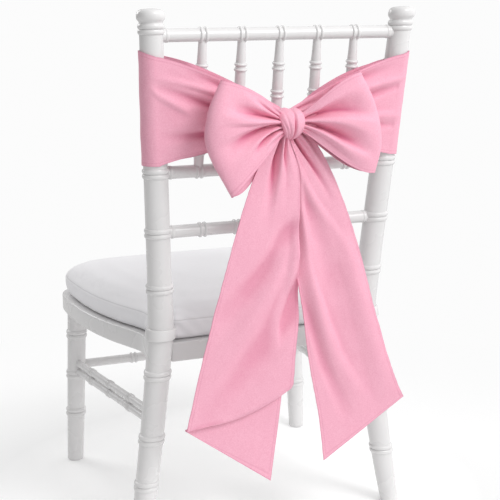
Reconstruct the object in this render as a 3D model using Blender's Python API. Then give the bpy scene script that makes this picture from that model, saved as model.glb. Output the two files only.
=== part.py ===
"""Ballroom chair with a seat pad and a long sash tied round its back in a bow.

Metres, +Z up, +Y towards the front of the chair, -X on the sitter's left as seen from behind.
The chair is a plain turned frame. The sash is one closed solid: two bands that go round the
back posts, two loops, two tails and the knot that holds them.
"""
import math

import bmesh
import bpy
from mathutils import Vector

# ---------------------------------------------------------------- driving sizes of the chair
OVERALL_HEIGHT = 0.920
BACK_Y = -0.162              # line of the back posts at seat level
CLEARANCE = 0.0003           # gap that touching pieces keep

SEAT_LEVEL = 0.385           # height at which the back posts bend from leg to back
POST_HALF_SPREAD_SEAT = 0.194
POST_HALF_SPREAD_TOP = 0.2235
BACK_RAKE = 0.071            # how far the tops lean back
LEG_SPLAY_OUT = 0.054
LEG_SPLAY_BACK = 0.016

RING_PROUD = 0.0025          # how far a turned ring stands out of its shaft
RING_STEP = 0.0043           # half the distance between the two rings of a pair
RING_END = 0.0085            # half the length of a pair

BOARD_TOP = 0.362
BOARD_BOTTOM = 0.324
FRONT_LEG_Y = BACK_Y + 0.420
FRONT_LEG_HALF_SPREAD = 0.237
FRONT_LEG_SPLAY = 0.014

PAD_BOTTOM = BOARD_TOP + CLEARANCE
PAD_SEAM = 0.400
PAD_TOP = 0.417

TOP_RAIL_Z = 0.878
MID_RAIL_Z = 0.655
LOW_RAIL_Z = 0.553
RAIL_RADIUS = 0.0107
FRONT_STRETCHER_Z = 0.202
FRONT_STRETCHER_RADIUS = 0.0088
SIDE_STRETCHER_RADIUS = 0.0068
SIDE_RING_PROUD = 0.0015     # lower rings, so that the two side stretchers pass close together
SPINDLE_PITCH = 0.0675
SPINDLE_COUNT = 5
SPINDLE_END_RADIUS = 0.0072
SPINDLE_RADIUS = 0.0092
SPINDLE_RING_HEIGHTS = (0.690, 0.734, 0.779, 0.825)
MID_RAIL_RINGS = (-0.1345, 0.0, 0.1345)
LOW_RAIL_RINGS = (-0.1250, -0.0620, 0.0620, 0.1250)
FRONT_STRETCHER_RINGS = (0.25, 0.50, 0.75)       # shares of its length
SIDE_STRETCHER_RINGS = (0.27, 0.52, 0.76)

# Side stretchers: name, height at the front leg, height at the back post, how far the
# front leg's own ring stands out where the stretcher meets it.
SIDE_STRETCHERS = (
    ("upper", 0.207, 0.2320, 0.0),
    ("lower", 0.190, 0.2155, RING_PROUD),
)

# Radius of the turned back post's shaft: height, radius.
POST_TAPER = (
    (0.000, 0.0168),
    (0.050, 0.0186),
    (0.150, 0.0204),
    (0.300, 0.0216),
    (0.400, 0.0222),
    (0.500, 0.0206),
    (0.660, 0.0203),
    (0.900, 0.0189),
)
POST_RING_HEIGHTS = (0.107, 0.189, 0.302, 0.4545, 0.553, 0.655, 0.8880)
POST_PLAIN_HEIGHTS = (0.050, 0.150, 0.245, 0.345, 0.415, 0.505, 0.605, 0.755)
COLLAR_BOTTOM = 0.3675
COLLAR_TOP = 0.3920
COLLAR_RADIUS = 0.0266
POST_FOOT = ((0.0, 0.0160), (0.004, 0.0169))
POST_CAP = (
    (0.8985, 0.0188),
    (0.9010, 0.0212),
    (0.9090, 0.0224),
    (0.9165, 0.0196),
    (OVERALL_HEIGHT, 0.0110),
)

FRONT_LEG_TAPER = (
    (0.000, 0.0162),
    (0.100, 0.0176),
    (0.330, 0.0188),
)
FRONT_LEG_RING_HEIGHTS = (0.104, 0.184, 0.268)
FRONT_FOOT = ((0.0, 0.0154), (0.004, 0.0163))
POST_SIDES = 12
ROD_SIDES = 8
RAIL_SIDES = 10

# Outline of one side of the seat board: forward of the back line, half width.
SEAT_SIDE = (
    (0.045, 0.2075),
    (0.080, 0.2090),
    (0.115, 0.2220),
    (0.160, 0.2400),
    (0.220, 0.2570),
    (0.290, 0.2680),
    (0.360, 0.2720),
    (0.410, 0.2680),
    (0.440, 0.2500),
    (0.457, 0.2150),
    (0.463, 0.1400),
)
SEAT_REAR = 0.002            # rear edge of the board, forward of the back line
NOTCH_STEPS = 7              # points round the notch for a back post
SIDE_STEPS = 21              # points along a side and half the front
SEAT_MIDDLE = 0.235          # forward of the back line

# Levels of the board: height, inset.
BOARD_LEVELS = (
    (BOARD_BOTTOM, 0.003),
    (BOARD_BOTTOM + 0.003, 0.0),
    (BOARD_TOP - 0.002, 0.0),
    (BOARD_TOP, 0.002),
)
# Levels of the pad's side: height, inset, how far it stands off the post's collar.
PAD_LEVELS = (
    (PAD_BOTTOM, 0.012, 0.0065),
    (PAD_BOTTOM + 0.006, 0.006, 0.0025),
    (PAD_SEAM, 0.006, 0.0025),
    (PAD_SEAM + 0.008, 0.016, 0.0095),
)
# Levels of its crown: height, share of the last level's outline.
PAD_CROWN = (
    (PAD_TOP - 0.002, 0.88),
    (PAD_TOP, 0.60),
)

# ---------------------------------------------------------------- driving sizes of the sash
CLOTH = 0.0016               # thickness of the sash
BAND_TOP = 0.851             # top edge of the band at the posts
BAND_BOTTOM = 0.672
BAND_GAP = 0.0019            # middle of the cloth stands this far off the post
KNOT = Vector((0.001, BACK_Y - 0.096, 0.7335))
KNOT_SIZE = Vector((0.0235, 0.0270, 0.0255))      # half sizes
KNOT_SEGMENTS = 16
KNOT_RINGS = 10
KNOT_GROOVE = 0.05           # depth of its grooves, as a share of its size
KNOT_TWIST = 1.6             # how much the grooves slant
KNOT_FULLNESS = 0.8
KNOT_NARROWING = 0.16        # how much narrower its bottom is than its top

# Bands: side, height change at this post, how the far layer's top edge falls to the knot.
BAND_SIDES = (
    ("left", -1, 0.003, 1.45),
    ("right", 1, -0.003, 1.75),
)

BAND_CREASES = (
    (0.30, 0.22, 0.95, -0.0040, 0.12),
    (0.46, 0.36, 0.90, 0.0035, 0.10),
    (0.62, 0.66, 0.80, -0.0040, 0.14),
)
BAND_NEAR_SHARE = 0.36       # share of the band's length from the knot to the post
BAND_FAR_SHARE = 0.62        # share at which it has gone round the post
WRAP_START = 90.0            # degrees round the post where the near layer meets it
WRAP_END = 318.0
TURN_RISE = 0.005            # the top edge lifts a little as it goes round the post
NEAR_FALL = 1.35             # how the near layer's top edge falls to the knot
BAND_NEAR_DEPTH = 0.012      # the layers enter the knot this far in front of its middle
BAND_FAR_DEPTH = 0.022
BAND_KNOT_X = 0.004
BAND_KNOT_HALF_WIDTH = 0.020
SPINDLE_GAP = 0.0030         # the far layer's middle stands this far behind the spindles
BEHIND_SPINDLES_BY = 0.22    # share of its way in which the far layer gets behind them

# Loops: the far edge from top to bottom as x, z; the edge bows; the opening in depth.
LOOPS = {
    "left": {
        "far": ((-0.125, 0.809), (-0.148, 0.755), (-0.149, 0.700), (-0.108, 0.621)),
        "bow_top": 0.006, "bow_bottom": -0.009, "open": 0.036, "drop_behind": 0.009,
    },
    "right": {
        "far": ((0.120, 0.811), (0.150, 0.757), (0.161, 0.697), (0.150, 0.647)),
        "bow_top": 0.002, "bow_bottom": -0.009, "open": 0.032, "drop_behind": 0.005,
    },
}
LOOP_KNOT_X = 0.010          # the loops leave the knot this far to each side
LOOP_KNOT_HALF_WIDTH = 0.014
LOOP_START = 0.012           # behind the middle of the knot
LOOP_LEAN = 0.012            # the far edge stands this much further behind
LOOP_LAYER_GAP = 0.0055      # half the space between the two layers at the knot
LOOP_BACK_CREASE = -0.5      # the chair side takes half of each crease, the other way

# Creases that leave the knot: across the cloth at the knot, across at the far end,
# how far they run, height in metres (below zero is a trough), half width across.
CREASE_START = 0.25          # share of the height that a crease has at the knot
CREASE_RISE = 0.16           # how soon it reaches its height
CREASE_FADE = 0.8
LOOP_CREASES = {
    "left": (
        (0.10, 0.06, 0.75, 0.0030, 0.10),
        (0.27, 0.26, 0.85, -0.0075, 0.13),
        (0.42, 0.44, 0.70, 0.0040, 0.10),
        (0.60, 0.66, 0.95, -0.0085, 0.12),
        (0.78, 0.82, 0.80, 0.0050, 0.12),
        (0.93, 0.92, 0.60, -0.0040, 0.08),
    ),
    "right": (
        (0.12, 0.10, 0.80, 0.0030, 0.12),
        (0.33, 0.42, 0.95, -0.0080, 0.15),
        (0.50, 0.58, 0.85, 0.0050, 0.09),
        (0.68, 0.78, 0.90, -0.0080, 0.13),
        (0.88, 0.92, 0.80, 0.0040, 0.11),
    ),
}

# Tails: each row is a level down the tail, as left x, left z, right x, right z, depth.
TAILS = {
    "left": (
        (-0.012, 0.728, 0.006, 0.726, 0.098),
        (-0.024, 0.707, 0.007, 0.700, 0.100),
        (-0.054, 0.665, 0.013, 0.655, 0.103),
        (-0.079, 0.605, 0.017, 0.600, 0.106),
        (-0.106, 0.518, 0.012, 0.510, 0.108),
        (-0.132, 0.433, 0.012, 0.425, 0.108),
        (-0.158, 0.345, 0.013, 0.350, 0.106),
        (-0.187, 0.233, 0.006, 0.285, 0.104),
    ),
    "right": (
        (0.001, 0.726, 0.012, 0.728, 0.088),
        (0.007, 0.700, 0.036, 0.709, 0.090),
        (0.014, 0.655, 0.074, 0.660, 0.094),
        (0.018, 0.590, 0.102, 0.590, 0.098),
        (0.021, 0.500, 0.135, 0.500, 0.101),
        (0.024, 0.420, 0.163, 0.405, 0.101),
        (0.036, 0.320, 0.194, 0.310, 0.099),
        (0.055, 0.220, 0.211, 0.262, 0.097),
        (0.069, 0.139, 0.226, 0.236, 0.095),
    ),
}
TAIL_CREASES = {
    "left": (
        (0.15, 0.20, 0.70, 0.0040, 0.16),
        (0.38, 0.42, 0.85, -0.0070, 0.18),
        (0.62, 0.72, 0.80, 0.0060, 0.16),
        (0.80, 0.85, 0.75, -0.0045, 0.11),
    ),
    "right": (
        (0.12, 0.22, 1.30, -0.0060, 0.16),
        (0.34, 0.44, 1.20, 0.0055, 0.15),
        (0.55, 0.70, 0.95, -0.0065, 0.16),
        (0.80, 0.84, 0.70, 0.0040, 0.14),
    ),
}
# The turned-up pleat near the end of the left tail, and the end that hangs below it,
# as left x, left z, right x, right z, depth.
PLEAT = (
    (-0.1865, 0.2315, 0.002, 0.2770, 0.1005),
    (-0.1850, 0.2360, 0.000, 0.2950, 0.0965),
    (-0.1835, 0.2345, -0.008, 0.2930, 0.0925),
    (-0.1840, 0.2290, -0.018, 0.2150, 0.0925),
    (-0.1845, 0.2265, -0.032, 0.1170, 0.0935),
)

WHITE_PAINT = (0.80, 0.79, 0.79, 1.0)
WHITE_CLOTH = (0.82, 0.81, 0.83, 1.0)
PINK_CLOTH = (0.88, 0.40, 0.56, 1.0)
PAINT_ROUGHNESS = 0.40
COVER_ROUGHNESS = 0.90
SASH_ROUGHNESS = 0.75


# ---------------------------------------------------------------- scene and materials
def clear_scene():
    for obj in list(bpy.data.objects):
        bpy.data.objects.remove(obj, do_unlink=True)


def material(name, colour, roughness):
    mat = bpy.data.materials.new(name)
    mat.use_nodes = True
    shader = mat.node_tree.nodes["Principled BSDF"]
    shader.inputs["Base Color"].default_value = colour
    shader.inputs["Roughness"].default_value = roughness
    shader.inputs["Metallic"].default_value = 0.0
    mat.diffuse_color = colour
    return mat


def add_object(name, verts, faces, colour, roughness=PAINT_ROUGHNESS):
    mesh = bpy.data.meshes.new(name)
    mesh.from_pydata([tuple(v) for v in verts], [], faces)
    bm = bmesh.new()
    bm.from_mesh(mesh)
    bmesh.ops.recalc_face_normals(bm, faces=bm.faces)
    bm.to_mesh(mesh)
    bm.free()
    mesh.shade_smooth()
    mesh.set_sharp_from_angle(angle=math.radians(40))
    mesh.materials.append(material(name, colour, roughness))
    obj = bpy.data.objects.new(name, mesh)
    bpy.context.collection.objects.link(obj)
    return obj


# ---------------------------------------------------------------- curves and profiles
def table_value(table, at, column=1):
    """Straight-line reading of a table whose first column rises."""
    if at <= table[0][0]:
        return table[0][column]
    for low, high in zip(table, table[1:]):
        if at <= high[0]:
            share = (at - low[0]) / (high[0] - low[0])
            return low[column] + (high[column] - low[column]) * share
    return table[-1][column]


def smooth_value(values, share):
    """Catmull-Rom reading of evenly spaced values, share from 0 to 1."""
    place = min(max(share, 0.0), 1.0) * (len(values) - 1)
    i = min(int(place), len(values) - 2)
    t = place - i
    b = values[i]
    c = values[i + 1]
    a = values[i - 1] if i > 0 else 2 * b - c
    d = values[i + 2] if i + 2 < len(values) else 2 * c - b
    return 0.5 * (2 * b + (c - a) * t + (2 * a - 5 * b + 4 * c - d) * t ** 2
                  + (3 * b - a - 3 * c + d) * t ** 3)


def ring_pair_rows(at, radius, proud=RING_PROUD):
    """Distance along and radius of a pair of turned rings."""
    return [
        (at - RING_END, radius),
        (at - RING_STEP, radius + proud),
        (at, radius + proud * 0.2),
        (at + RING_STEP, radius + proud),
        (at + RING_END, radius),
    ]


def post_centre(side, z):
    """Centre of a back post at height z."""
    if z >= SEAT_LEVEL:
        share = (z - SEAT_LEVEL) / (OVERALL_HEIGHT - SEAT_LEVEL)
        x = POST_HALF_SPREAD_SEAT + (POST_HALF_SPREAD_TOP - POST_HALF_SPREAD_SEAT) * share
        return Vector((side * x, BACK_Y - BACK_RAKE * share, z))
    share = (SEAT_LEVEL - z) / SEAT_LEVEL
    x = POST_HALF_SPREAD_SEAT + LEG_SPLAY_OUT * (0.72 * share + 0.28 * share ** 2)
    return Vector((side * x, BACK_Y - LEG_SPLAY_BACK * share, z))


def back_depth(z):
    """Y of the plane that holds the back's rails and spindles."""
    return post_centre(1, z).y


def front_leg_centre(side, z):
    share = (BOARD_BOTTOM - z) / BOARD_BOTTOM
    return Vector((side * (FRONT_LEG_HALF_SPREAD + FRONT_LEG_SPLAY * share), FRONT_LEG_Y, z))


# ---------------------------------------------------------------- turned pieces
def turned_upright(name, centre, rows):
    """A turned piece of level circles, each centred where centre(z) says."""
    sides = POST_SIDES
    verts = []
    faces = []
    for z, radius in rows:
        middle = centre(z)
        for k in range(sides):
            angle = 2 * math.pi * k / sides
            verts.append(middle + Vector((math.cos(angle), math.sin(angle), 0.0)) * radius)
    for i in range(len(rows) - 1):
        for k in range(sides):
            n = (k + 1) % sides
            faces.append((i * sides + k, i * sides + n, (i + 1) * sides + n, (i + 1) * sides + k))
    faces.append(tuple(range(sides - 1, -1, -1)))
    top = (len(rows) - 1) * sides
    faces.append(tuple(range(top, top + sides)))
    add_object(name, verts, faces, WHITE_PAINT)


def meet_upright(centre, taper, proud, axis, direction):
    """Where a level rod's end meets a round post or leg, at each point's own height."""
    across = 1 - axis

    def place(point):
        middle = centre(point.z)
        offset = point[across] - middle[across]
        radius = table_value(taper, point.z) + proud + CLEARANCE
        return middle[axis] - direction * math.sqrt(max(radius ** 2 - offset ** 2, 1e-8))
    return place


def meet_rail(z, direction):
    """Where a spindle's end meets a back rail."""
    def place(point):
        offset = point.y - back_depth(z)
        radius = RAIL_RADIUS + RING_PROUD + CLEARANCE
        return z - direction * math.sqrt(max(radius ** 2 - offset ** 2, 1e-8))
    return place


def turned_rod(name, axis, start, end, rows, sides):
    """A turned rod along one axis, its two ends cut to fit round carriers.

    start and end are (carrier centre, fit), and fit says where a point of the end goes
    along the axis. rows are (share of the length, radius).
    """
    a, fit_a = start
    b, fit_b = end
    others = [i for i in range(3) if i != axis]
    last = len(rows) - 1
    verts = []
    faces = []
    for i, (share, radius) in enumerate(rows):
        middle = a.lerp(b, share)
        for k in range(sides):
            angle = 2 * math.pi * (k + 0.5) / sides
            point = middle.copy()
            point[others[0]] += math.cos(angle) * radius
            point[others[1]] += math.sin(angle) * radius
            if i in (0, last):
                point[axis] = (fit_a if i == 0 else fit_b)(point)
            verts.append(point)
    for i in range(last):
        for k in range(sides):
            n = (k + 1) % sides
            faces.append((i * sides + k, i * sides + n, (i + 1) * sides + n, (i + 1) * sides + k))
    for middle, fit in ((a, fit_a), (b, fit_b)):
        centre = middle.copy()
        centre[axis] = fit(middle)
        verts.append(centre)
    for k in range(sides):
        n = (k + 1) % sides
        faces.append((len(verts) - 2, n, k))
        faces.append((len(verts) - 1, last * sides + k, last * sides + n))
    add_object(name, verts, faces, WHITE_PAINT)


def rod_rows(length, radius, ring_places, proud=RING_PROUD):
    """Rows of a rod with ring pairs at these distances from its start."""
    rows = [(0.0, radius)]
    for place in ring_places:
        rows += [(along / length, r) for along, r in ring_pair_rows(place, radius, proud)]
    rows.append((1.0, radius))
    return rows


def build_back_post(side, name):
    rows = list(POST_FOOT + POST_CAP)
    for at in POST_RING_HEIGHTS:
        rows += ring_pair_rows(at, table_value(POST_TAPER, at))
    rows += [(z, table_value(POST_TAPER, z)) for z in POST_PLAIN_HEIGHTS]
    shaft = table_value(POST_TAPER, COLLAR_BOTTOM)
    rows += [(COLLAR_BOTTOM, shaft), (COLLAR_BOTTOM + 0.002, COLLAR_RADIUS)]
    rows += [(COLLAR_TOP - 0.002, COLLAR_RADIUS), (COLLAR_TOP + 0.001, shaft)]
    rows.sort()
    turned_upright(name, lambda z: post_centre(side, z), rows)


def build_front_leg(side, name):
    top = BOARD_BOTTOM - CLEARANCE
    rows = list(FRONT_FOOT)
    for at in FRONT_LEG_RING_HEIGHTS:
        rows += ring_pair_rows(at, table_value(FRONT_LEG_TAPER, at))
    rows.append((top, table_value(FRONT_LEG_TAPER, top)))
    turned_upright(name, lambda z: front_leg_centre(side, z), rows)


def build_back_rail(name, z, ring_x):
    """A rail between the back posts, with ring pairs at these x places."""
    a = post_centre(-1, z)
    b = post_centre(1, z)
    rows = rod_rows(b.x - a.x, RAIL_RADIUS, [x - a.x for x in ring_x])
    fit_a = meet_upright(lambda at: post_centre(-1, at), POST_TAPER, RING_PROUD, 0, -1)
    fit_b = meet_upright(lambda at: post_centre(1, at), POST_TAPER, RING_PROUD, 0, 1)
    turned_rod(name, 0, (a, fit_a), (b, fit_b), rows, RAIL_SIDES)


def spindle_places():
    middle = (SPINDLE_COUNT - 1) / 2
    return [(i - middle) * SPINDLE_PITCH for i in range(SPINDLE_COUNT)]


def build_spindle(index, x):
    low = Vector((x, back_depth(MID_RAIL_Z), MID_RAIL_Z))
    high = Vector((x, back_depth(TOP_RAIL_Z), TOP_RAIL_Z))
    length = high.z - low.z
    rows = [(0.0, SPINDLE_END_RADIUS)]
    for z in SPINDLE_RING_HEIGHTS:
        rows += [(along / length, r) for along, r in ring_pair_rows(z - low.z, SPINDLE_RADIUS)]
    rows.append((1.0, SPINDLE_END_RADIUS))
    start = (low, meet_rail(MID_RAIL_Z, -1))
    end = (high, meet_rail(TOP_RAIL_Z, 1))
    turned_rod(f"spindle_{index}", 2, start, end, rows, ROD_SIDES)


def build_front_stretcher():
    a = front_leg_centre(-1, FRONT_STRETCHER_Z)
    b = front_leg_centre(1, FRONT_STRETCHER_Z)
    length = b.x - a.x
    places = [length * share for share in FRONT_STRETCHER_RINGS]
    rows = rod_rows(length, FRONT_STRETCHER_RADIUS, places)
    fit_a = meet_upright(lambda at: front_leg_centre(-1, at), FRONT_LEG_TAPER, 0.0, 0, -1)
    fit_b = meet_upright(lambda at: front_leg_centre(1, at), FRONT_LEG_TAPER, 0.0, 0, 1)
    turned_rod("front_stretcher", 0, (a, fit_a), (b, fit_b), rows, ROD_SIDES)


def build_side_stretcher(side, name, front_z, rear_z, front_proud):
    rear = post_centre(side, rear_z)
    front = front_leg_centre(side, front_z)
    length = front.y - rear.y
    places = [length * share for share in SIDE_STRETCHER_RINGS]
    rows = rod_rows(length, SIDE_STRETCHER_RADIUS, places, SIDE_RING_PROUD)
    fit_rear = meet_upright(lambda at: post_centre(side, at), POST_TAPER, 0.0, 1, -1)
    fit_front = meet_upright(lambda at: front_leg_centre(side, at), FRONT_LEG_TAPER, front_proud, 1, 1)
    turned_rod(name, 1, (rear, fit_rear), (front, fit_front), rows, ROD_SIDES)


# ---------------------------------------------------------------- seat board and pad
def seat_outline(inset, notch_radius):
    """Plan outline of the seat, right half from the rear, then the left half back again."""
    half = []
    post = post_centre(1, BOARD_TOP)
    post_forward = post.y - BACK_Y
    rear = SEAT_REAR + inset
    start = math.pi - math.asin((rear - post_forward) / notch_radius)
    end = math.acos((SEAT_SIDE[0][1] - inset - post.x) / notch_radius)
    for k in range(NOTCH_STEPS):
        angle = start + (end - start) * k / (NOTCH_STEPS - 1)
        half.append((post_forward + notch_radius * math.sin(angle), post.x + notch_radius * math.cos(angle)))
    forwards = [row[0] for row in SEAT_SIDE]
    widths = [row[1] for row in SEAT_SIDE]
    for k in range(SIDE_STEPS):
        share = k / (SIDE_STEPS - 1)
        half.append((smooth_value(forwards, share), smooth_value(widths, share)))
    side = half[NOTCH_STEPS:]
    moved = []
    for i, (forward, width) in enumerate(side):
        before = side[max(i - 1, 0)]
        after = side[min(i + 1, len(side) - 1)]
        along = Vector((after[0] - before[0], after[1] - before[1])).normalized()
        moved.append((forward + along.y * inset, width - along.x * inset))
    half = half[:NOTCH_STEPS] + moved
    right = [Vector((width, BACK_Y + forward, 0.0)) for forward, width in half]
    left = [Vector((-p.x, p.y, 0.0)) for p in reversed(right)]
    return right + left


def stacked_outline(name, rows, colour, roughness, crown=()):
    """A solid of the seat's outline, each row (z, inset, notch radius), closed by flat caps."""
    verts = []
    faces = []
    count = 2 * (NOTCH_STEPS + SIDE_STEPS)
    for z, inset, notch in rows:
        verts += [Vector((p.x, p.y, z)) for p in seat_outline(inset, notch)]
    centre = Vector((0.0, BACK_Y + SEAT_MIDDLE, 0.0))
    rim = verts[-count:]
    for z, share in crown:
        verts += [centre.lerp(Vector((p.x, p.y, 0.0)), share) + Vector((0.0, 0.0, z)) for p in rim]
    levels = len(rows) + len(crown)
    for i in range(levels - 1):
        for k in range(count):
            n = (k + 1) % count
            faces.append((i * count + k, i * count + n, (i + 1) * count + n, (i + 1) * count + k))
    faces.append(tuple(range(count - 1, -1, -1)))
    top = (levels - 1) * count
    faces.append(tuple(range(top, top + count)))
    add_object(name, verts, faces, colour, roughness)


def build_seat_board():
    # The notch's chords come closer to the post than its points, so its gap is doubled.
    notch = table_value(POST_TAPER, BOARD_TOP) + 2 * CLEARANCE
    rows = [(z, inset, notch) for z, inset in BOARD_LEVELS]
    stacked_outline("seat_board", rows, WHITE_PAINT, PAINT_ROUGHNESS)


def build_seat_pad():
    rows = [(z, inset, COLLAR_RADIUS + off) for z, inset, off in PAD_LEVELS]
    stacked_outline("seat_pad", rows, WHITE_CLOTH, COVER_ROUGHNESS, PAD_CROWN)


# ---------------------------------------------------------------- sash
def bump(distance):
    """A soft hump that is one at zero and nothing from one outwards."""
    return (1 - distance * distance) ** 2 if abs(distance) < 1 else 0.0


def crease_height(creases, along, across):
    """Height of the folds at a place on the cloth."""
    total = 0.0
    for at_knot, at_far, run, height, half_width in creases:
        if along >= run:
            continue
        middle = at_knot + (at_far - at_knot) * along / run
        rise = min(1.0, CREASE_START + along / CREASE_RISE)
        fade = (1 - along / run) ** CREASE_FADE
        total += height * rise * fade * bump((across - middle) / half_width)
    return total


def direction_at(points, i):
    """Direction of a row of points at one of them, halfway between its two edges."""
    total = Vector((0.0, 0.0, 0.0))
    if i > 0:
        total += (points[i] - points[i - 1]).normalized()
    if i + 1 < len(points):
        total += (points[i + 1] - points[i]).normalized()
    return total


def cloth_solid(name, surface, alongs, acrosses):
    """A closed sheet of the cloth's thickness on a grid of the surface."""
    grid = [[surface(s, t) for t in acrosses] for s in alongs]
    rows = len(alongs)
    cols = len(acrosses)
    outer = []
    inner = []
    for i in range(rows):
        for j in range(cols):
            along = direction_at([grid[k][j] for k in range(rows)], i)
            across = direction_at(grid[i], j)
            normal = along.cross(across).normalized() * (CLOTH / 2)
            outer.append(grid[i][j] + normal)
            inner.append(grid[i][j] - normal)
    shift = rows * cols
    faces = []
    for i in range(rows - 1):
        for j in range(cols - 1):
            a = i * cols + j
            quad = (a, a + 1, a + cols + 1, a + cols)
            faces.append(quad)
            faces.append(tuple(shift + v for v in reversed(quad)))
    rim = list(range(cols))
    rim += [i * cols + cols - 1 for i in range(1, rows)]
    rim += [(rows - 1) * cols + j for j in range(cols - 2, -1, -1)]
    rim += [i * cols for i in range(rows - 2, 0, -1)]
    for a, b in zip(rim, rim[1:] + rim[:1]):
        faces.append((b, a, shift + a, shift + b))
    return add_object(name, outer + inner, faces, PINK_CLOTH, SASH_ROUGHNESS)


def between(start, end, count):
    """Evenly spaced values, both ends included."""
    return [start + (end - start) * k / (count - 1) for k in range(count)]


def spindle_clear_y(z):
    """Y that clears the rear of the spindles and their rings."""
    return back_depth(z) - SPINDLE_RADIUS - RING_PROUD - SPINDLE_GAP


def round_post(z, degrees):
    """A place on the cloth's way round the right post; 90 degrees is the rear, 180 outside."""
    post = post_centre(1, z)
    reach = table_value(POST_TAPER, z) + BAND_GAP
    angle = math.radians(degrees)
    return post - Vector((math.cos(angle), math.sin(angle), 0.0)) * reach


def band_surface(side, lift, far_fall):
    """Knot, outwards over the back of the post, round it, and back to the knot."""
    def point(s, t):
        edge = BAND_TOP + lift + (BAND_BOTTOM - BAND_TOP) * t
        if BAND_NEAR_SHARE < s < BAND_FAR_SHARE:
            turn = (s - BAND_NEAR_SHARE) / (BAND_FAR_SHARE - BAND_NEAR_SHARE)
            z = edge + TURN_RISE * (1 - t) * math.sin(math.pi * turn)
            place = round_post(z, WRAP_START + (WRAP_END - WRAP_START) * turn)
        else:
            near = s <= BAND_NEAR_SHARE
            away = 1 - (s / BAND_NEAR_SHARE if near else (1 - s) / (1 - BAND_FAR_SHARE))
            fall = NEAR_FALL if near else far_fall
            start = round_post(edge, WRAP_START if near else WRAP_END)
            knot_y = KNOT.y + (BAND_NEAR_DEPTH if near else BAND_FAR_DEPTH)
            knot_z = KNOT.z + BAND_KNOT_HALF_WIDTH * (1 - 2 * t)
            place = start.lerp(Vector((BAND_KNOT_X, knot_y, 0.0)), away)
            place.z = edge + (knot_z - edge) * away ** (fall + (1 - fall) * t)
            if near:
                place.y -= crease_height(BAND_CREASES, 1 - away, t)
            else:
                hold = min(1.0, away / BEHIND_SPINDLES_BY)
                place.y += (min(place.y, spindle_clear_y(place.z)) - place.y) * hold
        return Vector((side * place.x, place.y, place.z))
    return point


def loop_surface(spec, creases):
    """Out from the knot on the rear side, round the far edge and back on the chair side."""
    far_x = [p[0] for p in spec["far"]]
    far_z = [p[1] for p in spec["far"]]

    def point(q, t):
        out = math.cos(math.pi * q / 2)
        front = q < 0
        knot_x = KNOT.x + math.copysign(LOOP_KNOT_X, far_x[0])
        knot_z = KNOT.z + LOOP_KNOT_HALF_WIDTH * (1 - 2 * t)
        x = knot_x + (smooth_value(far_x, t) - knot_x) * out
        z = knot_z + (smooth_value(far_z, t) - knot_z) * out
        bow = spec["bow_top"] + (spec["bow_bottom"] - spec["bow_top"]) * t
        z += bow * 4 * out * (1 - out)
        if not front:
            z -= spec["drop_behind"] * t ** 3 * math.sin(math.pi * out)
        depth = -0.5 * spec["open"] * math.sin(math.pi * q) - LOOP_LAYER_GAP * q
        depth += crease_height(creases, out, t) * (1.0 if front else LOOP_BACK_CREASE)
        y = KNOT.y - LOOP_START - LOOP_LEAN * out - depth
        return Vector((x, y, z))
    return point


def tail_surface(rows, creases):
    columns = list(zip(*rows))

    def point(s, t):
        left = Vector((smooth_value(columns[0], s), 0.0, smooth_value(columns[1], s)))
        right = Vector((smooth_value(columns[2], s), 0.0, smooth_value(columns[3], s)))
        place = left.lerp(right, t)
        place.y = BACK_Y - smooth_value(columns[4], s) - crease_height(creases, s, t)
        return place
    return point


def pleated_tail_surface(rows, pleat, creases):
    """The tail, then the pleat's fold and the end below it; along from 0 to 2."""
    upper = tail_surface(rows, creases)
    lower = (rows[-1],) + pleat

    def point(s, t):
        if s <= 1:
            return upper(s, t)
        columns = list(zip(*lower))
        place = (s - 1) * (len(lower) - 1)
        i = min(int(place), len(lower) - 2)
        share = place - i
        a = [column[i] + (column[i + 1] - column[i]) * share for column in columns]
        left = Vector((a[0], 0.0, a[1]))
        right = Vector((a[2], 0.0, a[3]))
        result = left.lerp(right, t)
        result.y = BACK_Y - a[4]
        return result
    return point


def knot_surface(name):
    """A tight wrap of cloth: an egg with slanting grooves."""
    segments = KNOT_SEGMENTS
    rings = KNOT_RINGS
    verts = [KNOT + Vector((0, 0, KNOT_SIZE.z))]
    for i in range(1, rings):
        tilt = math.pi * i / rings
        for k in range(segments):
            angle = 2 * math.pi * k / segments
            groove = 1 - KNOT_GROOVE * math.cos(3 * angle + KNOT_TWIST * tilt)
            across = math.sin(tilt) ** KNOT_FULLNESS * groove * (1 - KNOT_NARROWING * i / rings)
            verts.append(KNOT + Vector((
                KNOT_SIZE.x * across * math.cos(angle),
                KNOT_SIZE.y * across * math.sin(angle),
                KNOT_SIZE.z * math.cos(tilt),
            )))
    verts.append(KNOT - Vector((0, 0, KNOT_SIZE.z)))
    faces = []
    last = len(verts) - 1
    for k in range(segments):
        n = (k + 1) % segments
        faces.append((0, 1 + k, 1 + n))
        faces.append((last, last - segments + n, last - segments + k))
        for i in range(rings - 2):
            a = 1 + i * segments
            faces.append((a + k, a + segments + k, a + segments + n, a + n))
    return add_object(name, verts, faces, PINK_CLOTH, SASH_ROUGHNESS)


def as_guide(obj):
    obj.hide_render = True
    obj.display_type = "WIRE"
    return obj


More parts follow.
